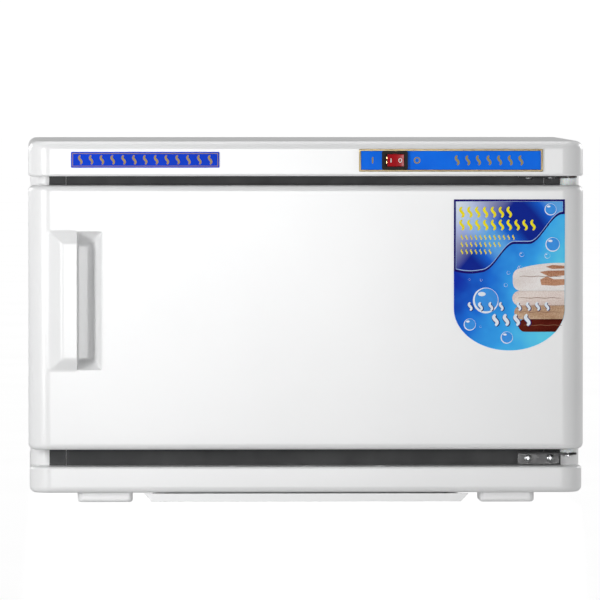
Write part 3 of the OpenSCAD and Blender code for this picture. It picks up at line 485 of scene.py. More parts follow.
def joined(name, objects):
    """One object from several."""
    bm = bmesh.new()
    for obj in objects:
        bm.from_mesh(obj.data)
        bpy.data.objects.remove(obj)
    mesh = bpy.data.meshes.new(name)
    bm.to_mesh(mesh)
    bm.free()
    mesh.shade_smooth()
    mesh.set_sharp_from_angle(angle=math.radians(32))
    obj = bpy.data.objects.new(name, mesh)
    bpy.context.scene.collection.objects.link(obj)
    return obj


def refined(node, width, segments=3):
    """A cleaned copy of a CAD node with its sharp edges rounded by width."""
    bm = bmesh.new()
    bm.from_mesh(frame["nodes"][node].data)
    bmesh.ops.remove_doubles(bm, verts=bm.verts[:], dist=0.002 * MM)
    if node not in ("back_panel", "drip_tray"):
        bmesh.ops.dissolve_limit(bm, angle_limit=math.radians(0.5), verts=bm.verts[:], edges=bm.edges[:])
    mesh = bpy.data.meshes.new(node + "_piece")
    bm.to_mesh(mesh)
    bm.free()
    for attribute in ("custom_normal", "sharp_face", "sharp_edge"):
        if attribute in mesh.attributes:
            mesh.attributes.remove(mesh.attributes[attribute])
    mesh.shade_smooth()
    mesh.set_sharp_from_angle(angle=math.radians(32))
    obj = bpy.data.objects.new(mesh.name, mesh)
    bpy.context.scene.collection.objects.link(obj)
    if width:
        bevelled(obj, width, segments)
    return stands_for(obj, node)


# ---------------------------------------------------------------- casing

FRONT_R, REAR_R = 18.0, 8.0


def plan(w, y0, y1, rf, rb, steps=14):
    """Outline in plan with round front and rear corners, anticlockwise from the front right corner."""
    rb_steps = max(4, steps // 2)
    return (
        arc(w / 2 - rf, y0 + rf, rf, rf, -90, 0, steps)
        + arc(w / 2 - rb, y1 - rb, rb, rb, 0, 90, rb_steps)
        + arc(-w / 2 + rb, y1 - rb, rb, rb, 90, 180, rb_steps)
        + arc(-w / 2 + rf, y0 + rf, rf, rf, 180, 270, steps)
    )


def rounded_ends(low_z, high_z, lower_r, upper_r, steps):
    """(level, inset) along a rounded lower edge, and along a rounded upper one."""
    angles = [90 * k / steps for k in range(steps + 1)]
    lower = [(low_z + lower_r * (1 - sin_deg(a)), lower_r * (1 - cos_deg(a))) for a in reversed(angles)]
    upper = [(high_z - upper_r * (1 - sin_deg(a)), upper_r * (1 - cos_deg(a))) for a in angles]
    return lower, upper


def moulding(name, low, high, lower_r, upper_r, steps=9):
    """A flat box moulding with round plan corners and rounded lower and upper edges."""
    rings = []
    lower, upper = rounded_ends(low.z, high.z, lower_r, upper_r, steps)
    for z, inset in lower + upper:
        width, rear_r = high.x - low.x - 2 * inset, max(REAR_R - inset, 0.5)
        outline = plan(width, low.y + inset, high.y - inset, FRONT_R - inset, rear_r)
        rings.append([(x, y, z) for x, y in outline])
    return loft(name, rings)


def build_mouldings():
    low, high = box_mm("top_cover")
    cover = moulding("top_cover_moulding", low, high, 2.0, 7.0)
    opening_low, opening_high = box_mm("switch_terminals")
    plate_low, plate_high = box_mm("panel_plate")
    centre_x = (opening_low.x + opening_high.x) / 2
    centre_z = (plate_low.z + plate_high.z) / 2
    half_w, half_h = 9.7, 6.6
    near = (centre_x - half_w, low.y - 1, centre_z - half_h)
    far = (centre_x + half_w, low.y + 27, centre_z + half_h)
    cut(cover, [block("cut_switch", near, far)])
    even_normals(cover)
    stands_for(cover, "top_cover")

    low, high = box_mm("base_pan")
    base = moulding("base_moulding", low, high, 5.0, 2.0)
    funnel = [(4.2, -0.5), (3.0, 1.0), (3.0, high.z - low.z + 1)]
    drains = [
        turned(f"cut_drain_{i}", funnel, (x, low.y + 14, high.z), (0, 0, -1), 32)
        for i, x in enumerate((-60, 0, 60))
    ]
    cut(base, drains)
    even_normals(base)
    stands_for(base, "base_pan")


def build_feet():
    low, high = box_mm("feet")
    feet = []
    foot_w, foot_d, edge, corner_r = 44.6, 38.0, 2.6, 4.0
    well_profile = [(5.0, -0.6), (4.5, 0.6), (4.5, 4.0), (2.2, 4.0), (2.2, high.z + 1)]
    for i, (x0, y0) in enumerate((x, y) for x in (low.x, high.x - foot_w) for y in (low.y, high.y - foot_d)):
        rings = []
        for angle in range(90, -1, -10):
            inset = edge * (1 - cos_deg(angle))
            z = edge * (1 - sin_deg(angle))
            x1, y1 = x0 + foot_w - inset, y0 + foot_d - inset
            rings.append([(x, y, z) for x, y in rounded_rect(x0 + inset, y0 + inset, x1, y1, corner_r - inset)])
        rings.append([(x, y, high.z) for x, y in rounded_rect(x0, y0, x0 + foot_w, y0 + foot_d, corner_r)])
        foot = loft(f"foot_{i}", rings)
        centre = (x0 + foot_w / 2, y0 + foot_d / 2, 0)
        feet.append(cut(foot, [turned("cut_well", well_profile, centre, (0, 0, 1), 32)]))
    foot_set = joined("foot_set", feet)
    even_normals(foot_set)
    stands_for(foot_set, "feet")


def build_side_panels():
    """Two folded steel sheets, each with a wide bend at its front edge and a tight one at its rear edge."""
    low, high = box_mm("side_panels")
    sheet, bend, rear_bend = 1.0, 16.0, 4.0
    front_lip, rear_lip = 31.5, 18.5
    panels = []
    for side in (-1, 1):
        outer = [(high.x - front_lip, low.y)]
        outer += arc(high.x - bend, low.y + bend, bend, bend, -90, 0, 20)
        outer += arc(high.x - rear_bend, high.y - rear_bend, rear_bend, rear_bend, 0, 90, 8)
        outer += [(high.x - rear_lip, high.y)]
        inner = [(high.x - front_lip, low.y + sheet)]
        inner += arc(high.x - bend, low.y + bend, bend - sheet, bend - sheet, -90, 0, 20)
        inner += arc(high.x - rear_bend, high.y - rear_bend, rear_bend - sheet, rear_bend - sheet, 0, 90, 8)
        inner += [(high.x - rear_lip, high.y - sheet)]
        outline = [(side * x, y) for x, y in outer + inner[::-1]]
        panels.append(prism(f"side_{side}", outline, low.z, high.z, "Z"))
    pair = joined("folded_side_panels", panels)
    stands_for(bevelled(pair, 0.15, 2), "side_panels")


# ---------------------------------------------------------------- fasteners


def screw(name, head_r, head_h, shank_r, shank_l, place, direction):
    """Pan-head screw with a domed head and a cross recess. direction points from the head along the shank."""
    direction = Vector(direction)
    place = Vector(place)
    dome = [(head_r * cos_deg(a), -head_h * (0.35 + 0.65 * sin_deg(a))) for a in range(84, -1, -12)]
    shank = [(shank_r, 0.0), (shank_r, shank_l - shank_r), (0.3, shank_l)]
    profile = [(0.05, -head_h)] + dome + [(head_r, -0.1 * head_h), (head_r * 0.96, 0.0)] + shank
    body = turned(name, profile, place, direction, 36)
    side = direction.orthogonal().normalized()
    arms = []
    for turn in (0, 1):
        across = side if turn == 0 else direction.cross(side)
        along = direction.cross(across)
        top = place - direction * head_h
        arms.append(cross_arm(f"cut_arm_{turn}", top, direction, along, across, head_r, head_h))
    return cut(body, arms)


def cross_arm(name, top, direction, along, across, head_r, head_h):
    """One tapered slot of a cross recess."""
    corners = []
    for depth, half_l, half_w in ((-0.5, 0.62, 0.15), (head_h * 0.75, 0.34, 0.09)):
        for a, b in ((-1, -1), (1, -1), (1, 1), (-1, 1)):
            corner = top + direction * depth + along * (a * half_l * head_r) + across * (b * half_w * head_r)
            corners.append(corner)
    faces = [(0, 1, 2, 3), (7, 6, 5, 4)] + [(k, (k + 1) % 4, 4 + (k + 1) % 4, 4 + k) for k in range(4)]
    return new_object(name, corners, faces)


def screw_set(node, name, places, head, shank, direction):
    """Screws of one size, (radius, height) of the head and (radius, length) of the shank, for one CAD node."""
    screws = [screw(f"{name}_{i}", *head, *shank, place, direction) for i, place in enumerate(places)]
    stands_for(joined(name + "_set", screws), node)


def build_screws():
    low, high = box_mm("back_panel_screws")
    head_r, head_h = 3.4, 2.0
    xs = (low.x + head_r, 0.0, high.x - head_r)
    zs = (low.z + head_r, (low.z + high.z) / 2, high.z - head_r)
    places = [(x, high.y - head_h, z) for x in xs for z in zs if x or z != zs[1]]
    screw_set("back_panel_screws", "back_panel_screw", places, (head_r, head_h), (1.3, 9.0), (0, -1, 0))

    low, high = box_mm("door_panel_screws")
    head_r, head_h = 3.2, 1.6
    middle = 150.0
    levels = (low.z + head_r, middle, high.z - head_r)
    places = [(x, high.y - head_h, z) for x in (low.x + head_r, high.x - head_r) for z in levels]
    screw_set("door_panel_screws", "door_screw", places, (head_r, head_h), (1.4, 12.0), (0, -1, 0))

    low, high = box_mm("foot_screws")
    head_r, head_h = 3.6, 1.8
    depths = (low.y + head_r, high.y - head_r)
    places = [(x, y, low.z + head_h) for x in (low.x + head_r, high.x - head_r) for y in depths]
    screw_set("foot_screws", "foot_screw", places, (head_r, head_h), (1.5, 14.0), (0, 0, 1))


def build_hinge_screws():
    """Two screws in the lower bracket's upright leaf, and two in the upper bracket's flat one behind the pin."""
    low, high = box_mm("hinge_screws")
    head_r, head_h = 2.9, 1.6
    plate_back = box_mm("lower_hinge_bracket")[1].y
    leaf_foot = box_mm("upper_hinge_bracket")[0].z
    pin_low, pin_high = box_mm("hinge_pins")
    upper_y = (pin_low.y + pin_high.y) / 2 + 8.0
    heads = []
    for i, x in enumerate((low.x + head_r, high.x - head_r)):
        lower_place = (x, plate_back - 2.0, low.z + head_r)
        heads.append(screw(f"lower_screw_{i}", head_r, head_h, 1.4, 10.0, lower_place, (0, 1, 0)))
        heads.append(screw(f"upper_screw_{i}", head_r, head_h, 1.4, 9.0, (x, upper_y, leaf_foot), (0, 0, 1)))
    stands_for(joined("hinge_screw_set", heads), "hinge_screws")


# ---------------------------------------------------------------- door


def soft_min(a, b, k):
    h = max(k - abs(a - b), 0.0) / k
    return min(a, b) - h * h * k / 4


def soft_max(a, b, k):
    return -soft_min(-a, -b, k)


def smooth_step(value):
    t = min(max(value, 0.0), 1.0)
    return t * t * (3 - 2 * t)


def filleted(points, radii, steps):
    """The inner points of an open polyline as arcs, each with the same number of points."""
    path = []
    for i in range(1, len(points) - 1):
        here = Vector(points[i])
        back, ahead = Vector(points[i - 1]) - here, Vector(points[i + 1]) - here
        reach = min(radii[i - 1], 0.48 * back.length, 0.48 * ahead.length)
        a = here + back.normalized() * reach if back.length > 1e-6 else here
        b = here + ahead.normalized() * reach if ahead.length > 1e-6 else here
        for k in range(steps + 1):
            t = k / steps
            path.append(a.lerp(here, t).lerp(here.lerp(b, t), t))
    return path


class DoorShape:
    """The door's skin: a moulded front with a raised grip at its left and a finger pocket behind it."""

    edge_r = 5.0
    grip_h = 8.0
    pocket_d = 17.0
    flank = 10.0
    grip_end = 9.0
    lower_slope, upper_slope = 8.0, 11.0

    def __init__(self):
        self.low, self.high = box_mm("door_shell")
        self.front = self.low.y + self.grip_h
        self.grip_x0 = self.low.x + 16.4
        self.grip_x1 = self.grip_x0 + 23.0
        self.floor_x = self.grip_x1 + 12.2
        self.pocket_x1 = self.grip_x1 + 19.8
        self.z0 = 163.7 - 112.5 / 2
        self.z1 = 163.7 + 112.5 / 2
        self.wall_steps = 7

    def grip_height(self, z):
        """Height of the grip's top at a level."""
        slope = self.grip_h / self.grip_end
        ends = soft_min((z - self.z0) * slope, (self.z1 - z) * slope, 1.0)
        return soft_max(0.0, soft_min(self.grip_h, ends, 1.6), 0.8)

    def depth(self, z):
        """Depth of the pocket's floor at a level."""
        from_foot = (z - self.z0) * self.pocket_d / self.lower_slope
        from_head = (self.z1 - z) * self.pocket_d / self.upper_slope
        ends = soft_min(from_foot, from_head, 1.0)
        return soft_max(0.0, soft_min(self.pocket_d, ends, 3.0), 1.0)

    def rows(self):
        """(level, inset of the outline) from the foot of the door to its top."""
        r = self.edge_r
        lower, upper = rounded_ends(self.low.z, self.high.z, r, r, 10)
        levels = [self.z0 - 2 + 0.5 * k for k in range(30)] + [self.z1 + 2 - 0.5 * k for k in range(36)]
        levels += [self.z0 + 13 + (self.z1 - self.z0 - 29) * k / 12 for k in range(1, 12)]
        levels += [self.low.z + r + (self.z0 - 2 - self.low.z - r) * k / 8 for k in range(1, 8)]
        levels += [self.z1 + 2 + (self.high.z - r - self.z1 - 2) * k / 5 for k in range(1, 5)]
        return lower + [(z, 0.0) for z in sorted(levels)] + upper

    def section(self, z, inset):
        """Plan outline of the skin at a level, from its left rear edge round the front to its right one."""
        w0, w1, y0 = self.low.x + inset, self.high.x - inset, self.front + inset
        rf = FRONT_R - inset
        height, depth = self.grip_height(z), self.depth(z)
        points = [(w0, self.high.y), (w0, self.front + FRONT_R + 4)]
        points += arc(w0 + rf, y0 + rf, rf, rf, 180, 270, 22)
        left, right = w0 + rf, self.grip_x1 - 1.5
        points += [(left + (right - left) * k / 34, y0) for k in range(1, 35)]
        points = [(x, y - self.flank_height(x, height)) if y < y0 + 1.0 else (x, y) for x, y in points]
        points += self.pocket_section(y0, height, depth)
        points += [(self.pocket_x1 + 3.0 + (w1 - rf - self.pocket_x1 - 3.0) * k / 12, y0) for k in range(12)]
        points += arc(w1 - rf, y0 + rf, rf, rf, 270, 360, 18)
        points += [(w1, self.front + FRONT_R + 4), (w1, self.high.y)]
        return [(x, y, z) for x, y in points]

    def flank_height(self, x, height):
        rise = (x - self.grip_x0) * self.grip_h / self.flank
        return soft_max(0.0, soft_min(rise, height, 1.6), 0.8) if height > 0.01 else 0.0

    def pocket_section(self, y0, height, depth):
        """From the grip's top down its right side, over the pocket's floor and up its right slope."""
        reach = depth / self.pocket_d
        x1 = self.grip_x1
        slope_x = self.pocket_x1 - (self.pocket_x1 - self.floor_x) * reach
        corners = [
            (x1 - 1.6, y0 - height), (x1, y0 - height), (x1, y0 + depth), (slope_x, y0 + depth),
            (self.pocket_x1, y0), (self.pocket_x1 + 3.0, y0),
        ]
        radii = [1.0, 2.0, 4.0, 1.2]
        path = filleted(corners, radii, self.wall_steps)
        shown = smooth_step(max(height, depth) / 1.2)
        start, stop = x1 - 1.5, self.pocket_x1 + 3.0
        result = []
        for k, (x, y) in enumerate(path):
            flat_x = start + (stop - start) * (k + 1) / (len(path) + 1)
            result.append((flat_x + (x - flat_x) * shown, y0 + (y - y0) * shown))
        return result

    def build(self):
        sections = [self.section(z, inset) for z, inset in self.rows()]
        skin = loft("door_skin", sections, 40)
        low, high = box_mm("door_inner_panel")
        play = 0.1
        near = (low.x - play, self.high.y - 2.1, low.z - play)
        far = (high.x + play, self.high.y + 1, high.z + play)
        recess = block("cut_recess", near, far)
        pin_low, pin_high = box_mm("hinge_pins")
        axis_x, axis_y = (pin_low.x + pin_high.x) / 2, (pin_low.y + pin_high.y) / 2
        sockets = [
            turned("cut_socket", [(5.05, -1.0), (5.05, 11.2)], (axis_x, axis_y, z), (0, 0, way), 40)
            for z, way in ((self.low.z, 1), (self.high.z, -1))
        ]
        cut(skin, [recess, *sockets])
        skin.data.set_sharp_from_angle(angle=math.radians(38))
        even_normals(skin)
        return stands_for(skin, "door_shell")


def build_gasket():
    """Hollow seal: a flat foot on the door and a rounded bulb towards the frame, with mitred corners."""
    low, high = box_mm("door_gasket")
    width, corner_r = 9.0, 6.0
    depth = high.y - low.y
    bulb = [(-4.5, 0.0), (-4.5, 0.8), (-3.6, 1.4)]
    bulb += [(3.6 * cos_deg(a), 1.9 + (depth - 1.9) * sin_deg(a)) for a in range(170, 9, -16)]
    bulb += [(3.6, 1.4), (4.5, 0.8), (4.5, 0.0)]
    x0, x1, z0, z1 = low.x + width / 2, high.x - width / 2, low.z + width / 2, high.z - width / 2
    path = rounded_rect(x0, z0, x1, z1, corner_r, 8)
    count, sides = len(path), len(bulb)
    verts, faces = [], []
    for k, (x, z) in enumerate(path):
        ahead, back = Vector(path[(k + 1) % count]), Vector(path[k - 1])
        along = (ahead - back).normalized()
        outward = Vector((along.y, -along.x))
        verts += [(x + outward.x * a, low.y + b, z + outward.y * a) for a, b in bulb]
    for k in range(count):
        for s in range(sides):
            a, b = k * sides + s, k * sides + (s + 1) % sides
            c, d = ((k + 1) % count) * sides + (s + 1) % sides, ((k + 1) % count) * sides + s
            faces.append((a, b, c, d))
    stands_for(new_object("door_seal", verts, faces, 50), "door_gasket")


# ---------------------------------------------------------------- chamber


def tube(name, start, stop, radius, steps=20):
    """A round bar with softly rounded ends."""
    start, stop = Vector(start), Vector(stop)
    length = (stop - start).length
    edge = 0.35 * radius
    start_end = [(radius - edge, 0.0), (radius - edge * 0.3, edge * 0.3), (radius, edge)]
    profile = start_end + [(reach, length - distance) for reach, distance in reversed(start_end)]
    return turned(name, profile, start, stop - start, steps)


def build_wire_shelf():
    low, high = box_mm("wire_shelf")
    side_r, cross_r, bar_r, bars = 2.2, 1.7, 1.4, 15
    side_x = high.x - side_r
    level = low.z + side_r
    rods = [tube(f"rod_{s}", (s * side_x, low.y, level), (s * side_x, high.y, level), side_r) for s in (-1, 1)]
    for i, y in enumerate((low.y + 2.5, (low.y + high.y) / 2, high.y - 2.5)):
        rods.append(tube(f"cross_{i}", (-side_x, y, level), (side_x, y, level), cross_r))
    bar_z = level + cross_r + bar_r - 0.5
    for i in range(1, bars + 1):
        x = -side_x + 2 * side_x * i / (bars + 1)
        rods.append(tube(f"bar_{i}", (x, low.y + 0.3, bar_z), (x, high.y - 0.3, bar_z), bar_r))
    stands_for(joined("shelf_wires", rods), "wire_shelf")


def build_water_tray():
    """A pressed tray: round corners, a filleted floor and a rim that turns over."""
    low, high = box_mm("water_tray")
    lip, sheet = 2.0, 1.0
    stages = [
        (lip + 2.5, low.z, 3.5), (lip + 0.8, low.z + 0.8, 5.2), (lip, low.z + 2.6, 6.0),
        (lip, high.z - 1.6, 6.0), (lip - 0.5, high.z - 1.1, 6.5), (0.4, high.z - 1.0, 7.6),
        (0.0, high.z - 0.5, 8.0), (0.4, high.z, 7.6), (lip + 0.3, high.z, 5.7), (lip + 0.9, high.z - 0.5, 5.1),
        (lip + sheet, high.z - 1.4, 5.0), (lip + sheet, low.z + 3.4, 5.0), (lip + sheet + 0.7, low.z + 1.7, 4.3),
        (lip + sheet + 2.2, low.z + sheet, 2.8),
    ]
    rings = []
    for inset, z, radius in stages:
        outline = rounded_rect(low.x + inset, low.y + inset, high.x - inset, high.y - inset, radius)
        rings.append([(x, y, z) for x, y in outline])
    tray = loft("pressed_water_tray", rings, 60)
    even_normals(tray)
    stands_for(tray, "water_tray")


# ---------------------------------------------------------------- switch and printed plates


def ribbon(points, width):
    """Outline of a line of one width along points in a plane."""
    left, right = [], []
    for k, (x, y) in enumerate(points):
        ahead, back = Vector(points[min(k + 1, len(points) - 1)]), Vector(points[max(k - 1, 0)])
        along = (ahead - back).normalized()
        taper = 0.5 * width * (0.35 + 0.65 * math.sin(math.pi * (k + 0.5) / len(points)) ** 0.5)
        left.append((x - along.y * taper, y + along.x * taper))
        right.append((x + along.y * taper, y - along.x * taper))
    return left + right[::-1]


def steam(cx, cz, height, swing, width, steps=22):
    """Outline of one upright steam wave."""
    points = []
    for k in range(steps + 1):
        t = k / steps
        points.append((cx + swing * math.sin(2 * math.pi * t), cz + height * (t - 0.5)))
    return ribbon(points, width)


def ring_outline(name, cx, cz, outer, inner, front, back, steps=40):
    """A flat ring, pushed from front to back."""
    verts = []
    for y in (front, back):
        for radius_x, radius_z in (outer, inner):
            verts += [
                (cx + radius_x * math.cos(angle), y, cz + radius_z * math.sin(angle))
                for angle in (2 * math.pi * k / steps for k in range(steps))
            ]
    faces = []
    for k in range(steps):
        n = (k + 1) % steps
        fo, fi, bo, bi = k, steps + k, 2 * steps + k, 3 * steps + k
        fo2, fi2, bo2, bi2 = n, steps + n, 2 * steps + n, 3 * steps + n
        faces += [(fo, fo2, fi2, fi), (bo, bi, bi2, bo2), (fo, bo, bo2, fo2), (fi, fi2, bi2, bi)]
    return new_object(name, verts, faces)


def frame_line(name, x0, z0, x1, z1, width, front, back):
    """A thin rectangular line."""
    outer = [(x0, z0), (x1, z0), (x1, z1), (x0, z1)]
    w = width
    inner = [(x0 + w, z0 + w), (x1 - w, z0 + w), (x1 - w, z1 - w), (x0 + w, z1 - w)]
    verts = [(x, y, z) for y in (front, back) for x, z in outer + inner]
    faces = []
    for k in range(4):
        n = (k + 1) % 4
        faces += [(k, n, 4 + n, 4 + k), (8 + k, 12 + k, 12 + n, 8 + n)]
        faces += [(k, 8 + k, 8 + n, n), (4 + k, 4 + n, 12 + n, 12 + k)]
    return new_object(name, verts, faces)


INK = 0.06


def build_name_plate():
    plate = refined("name_plate", 0.15, 2)
    low, high = box_mm("name_plate")
    gold = printed("gold_print", (0.42, 0.30, 0.13))
    front = low.y
    edge, back = 1.1, front + 0.02
    corners = (low.x + edge, low.z + edge, high.x - edge, high.z - edge)
    line = frame_line("name_plate_line", *corners, 0.45, front - INK, back)
    marks = [line]
    count = 13
    centre_z = (low.z + high.z) / 2
    for k in range(count):
        x = low.x + 7.5 + (high.x - low.x - 15.0) * k / (count - 1)
        marks.append(prism(f"mark_{k}", steam(x, centre_z, 7.2, 1.0, 1.9), front - INK, front + 0.02))
    place_piece(joined("name_plate_ornament", marks), gold, "cabinet", "trim_gold")
    return plate


def build_control_panel():
    refined("panel_plate", 0.1, 2)
    refined("panel_trim", 0.35, 3)
    low, high = box_mm("panel_plate")
    switch_low, switch_high = box_mm("switch_housing")
    front = low.y
    centre_z = (low.z + high.z) / 2
    gold = printed("gold_marks", (0.36, 0.30, 0.13))
    gap, back = 7.5, front + 0.02
    bar = [(switch_low.x - gap, centre_z - 2.6 + 5.2 * k / 8) for k in range(9)]
    marks = [
        prism("on_mark", ribbon(bar, 1.3), front - INK, back),
        ring_outline("off_mark", switch_high.x + gap, centre_z, (2.7, 2.7), (1.7, 1.7), front - INK, back),
    ]
    for k in range(7):
        x = switch_high.x + 40.0 + 8.6 * k
        marks.append(prism(f"steam_{k}", steam(x, centre_z, 7.6, 1.1, 2.1), front - INK, front + 0.02))
    place_piece(joined("panel_marks", marks), gold, "cabinet", "trim_gold")


def build_switch():
    refined("switch_housing", 0.45, 3)
    low, high = box_mm("switch_rocker")
    housing_low, housing_high = box_mm("switch_housing")
    centre = Vector(((housing_low.x + housing_high.x) / 2, 0.0, (low.z + high.z) / 2))
    hinge = next(j for j in frame["joints"] if j["child"] == "rocker")
    axis_y = hinge["pos_m"][1] / MM
    tilt = math.radians(10)
    half, end, middle, height = 6.9, 4.4, 3.6, 9.8
    hollow_r = (half ** 2 + (end - middle) ** 2) / (2 * (end - middle))
    face = []
    for k in range(17):
        x = -half + 2 * half * k / 16
        face.append((x, -middle - (hollow_r - math.sqrt(hollow_r ** 2 - x * x))))
    outline = face + [(half - 1, 0.5), (2.4, 2.2), (-2.4, 2.2), (-half + 1, 0.5)]

    def put(x, y):
        """A point of the rocker's own plan, turned to its rest position."""
        return (
            centre.x + x * math.cos(tilt) - y * math.sin(tilt),
            axis_y + x * math.sin(tilt) + y * math.cos(tilt),
        )

    plan_outline = [put(x, y) for x, y in outline]
    rocker = prism("rocker_cap", plan_outline, centre.z - height / 2, centre.z + height / 2, "Z")
    bevelled(rocker, 0.35, 3, 50)
    stands_for(rocker, "switch_rocker")
    foot, head = low.z - centre.z, high.z - centre.z
    pin_profile = [(1.0, foot), (1.5, foot + 0.5), (1.5, head - 0.5), (1.0, head)]
    pin = turned("rocker_pin", pin_profile, (centre.x, axis_y, centre.z), (0, 0, 1), 32)
    place_piece(pin, MATERIALS["rocker_red"], "rocker", "rocker_red")
    white = printed("rocker_mark_white", (0.86, 0.84, 0.82))
    marks = []
    bar = block("bar", (-3.9 - 0.4, -0.10, -1.7), (-3.9 + 0.4, 0.25, 1.7))
    loop = ring_outline("loop", 3.7, 0.0, (1.5, 1.9), (0.85, 1.25), -0.10, 0.25, 28)
    for mark, x in ((bar, -3.9), (loop, 3.7)):
        depth = -middle - (hollow_r - math.sqrt(hollow_r ** 2 - x * x))
        lean = math.asin(x / hollow_r)
        onto_face = Matrix.Translation(Vector((x, depth, 0)) * MM) @ Matrix.Rotation(-lean, 4, "Z")
        turn = Matrix.Rotation(tilt, 4, "Z") @ onto_face @ Matrix.Translation(Vector((-x, 0, 0)) * MM)
        mark.data.transform(Matrix.Translation(Vector((centre.x, axis_y, centre.z)) * MM) @ turn)
        marks.append(mark)
    place_piece(joined("rocker_marks", marks), white, "rocker", "rocker_red")


# ---------------------------------------------------------------- door label


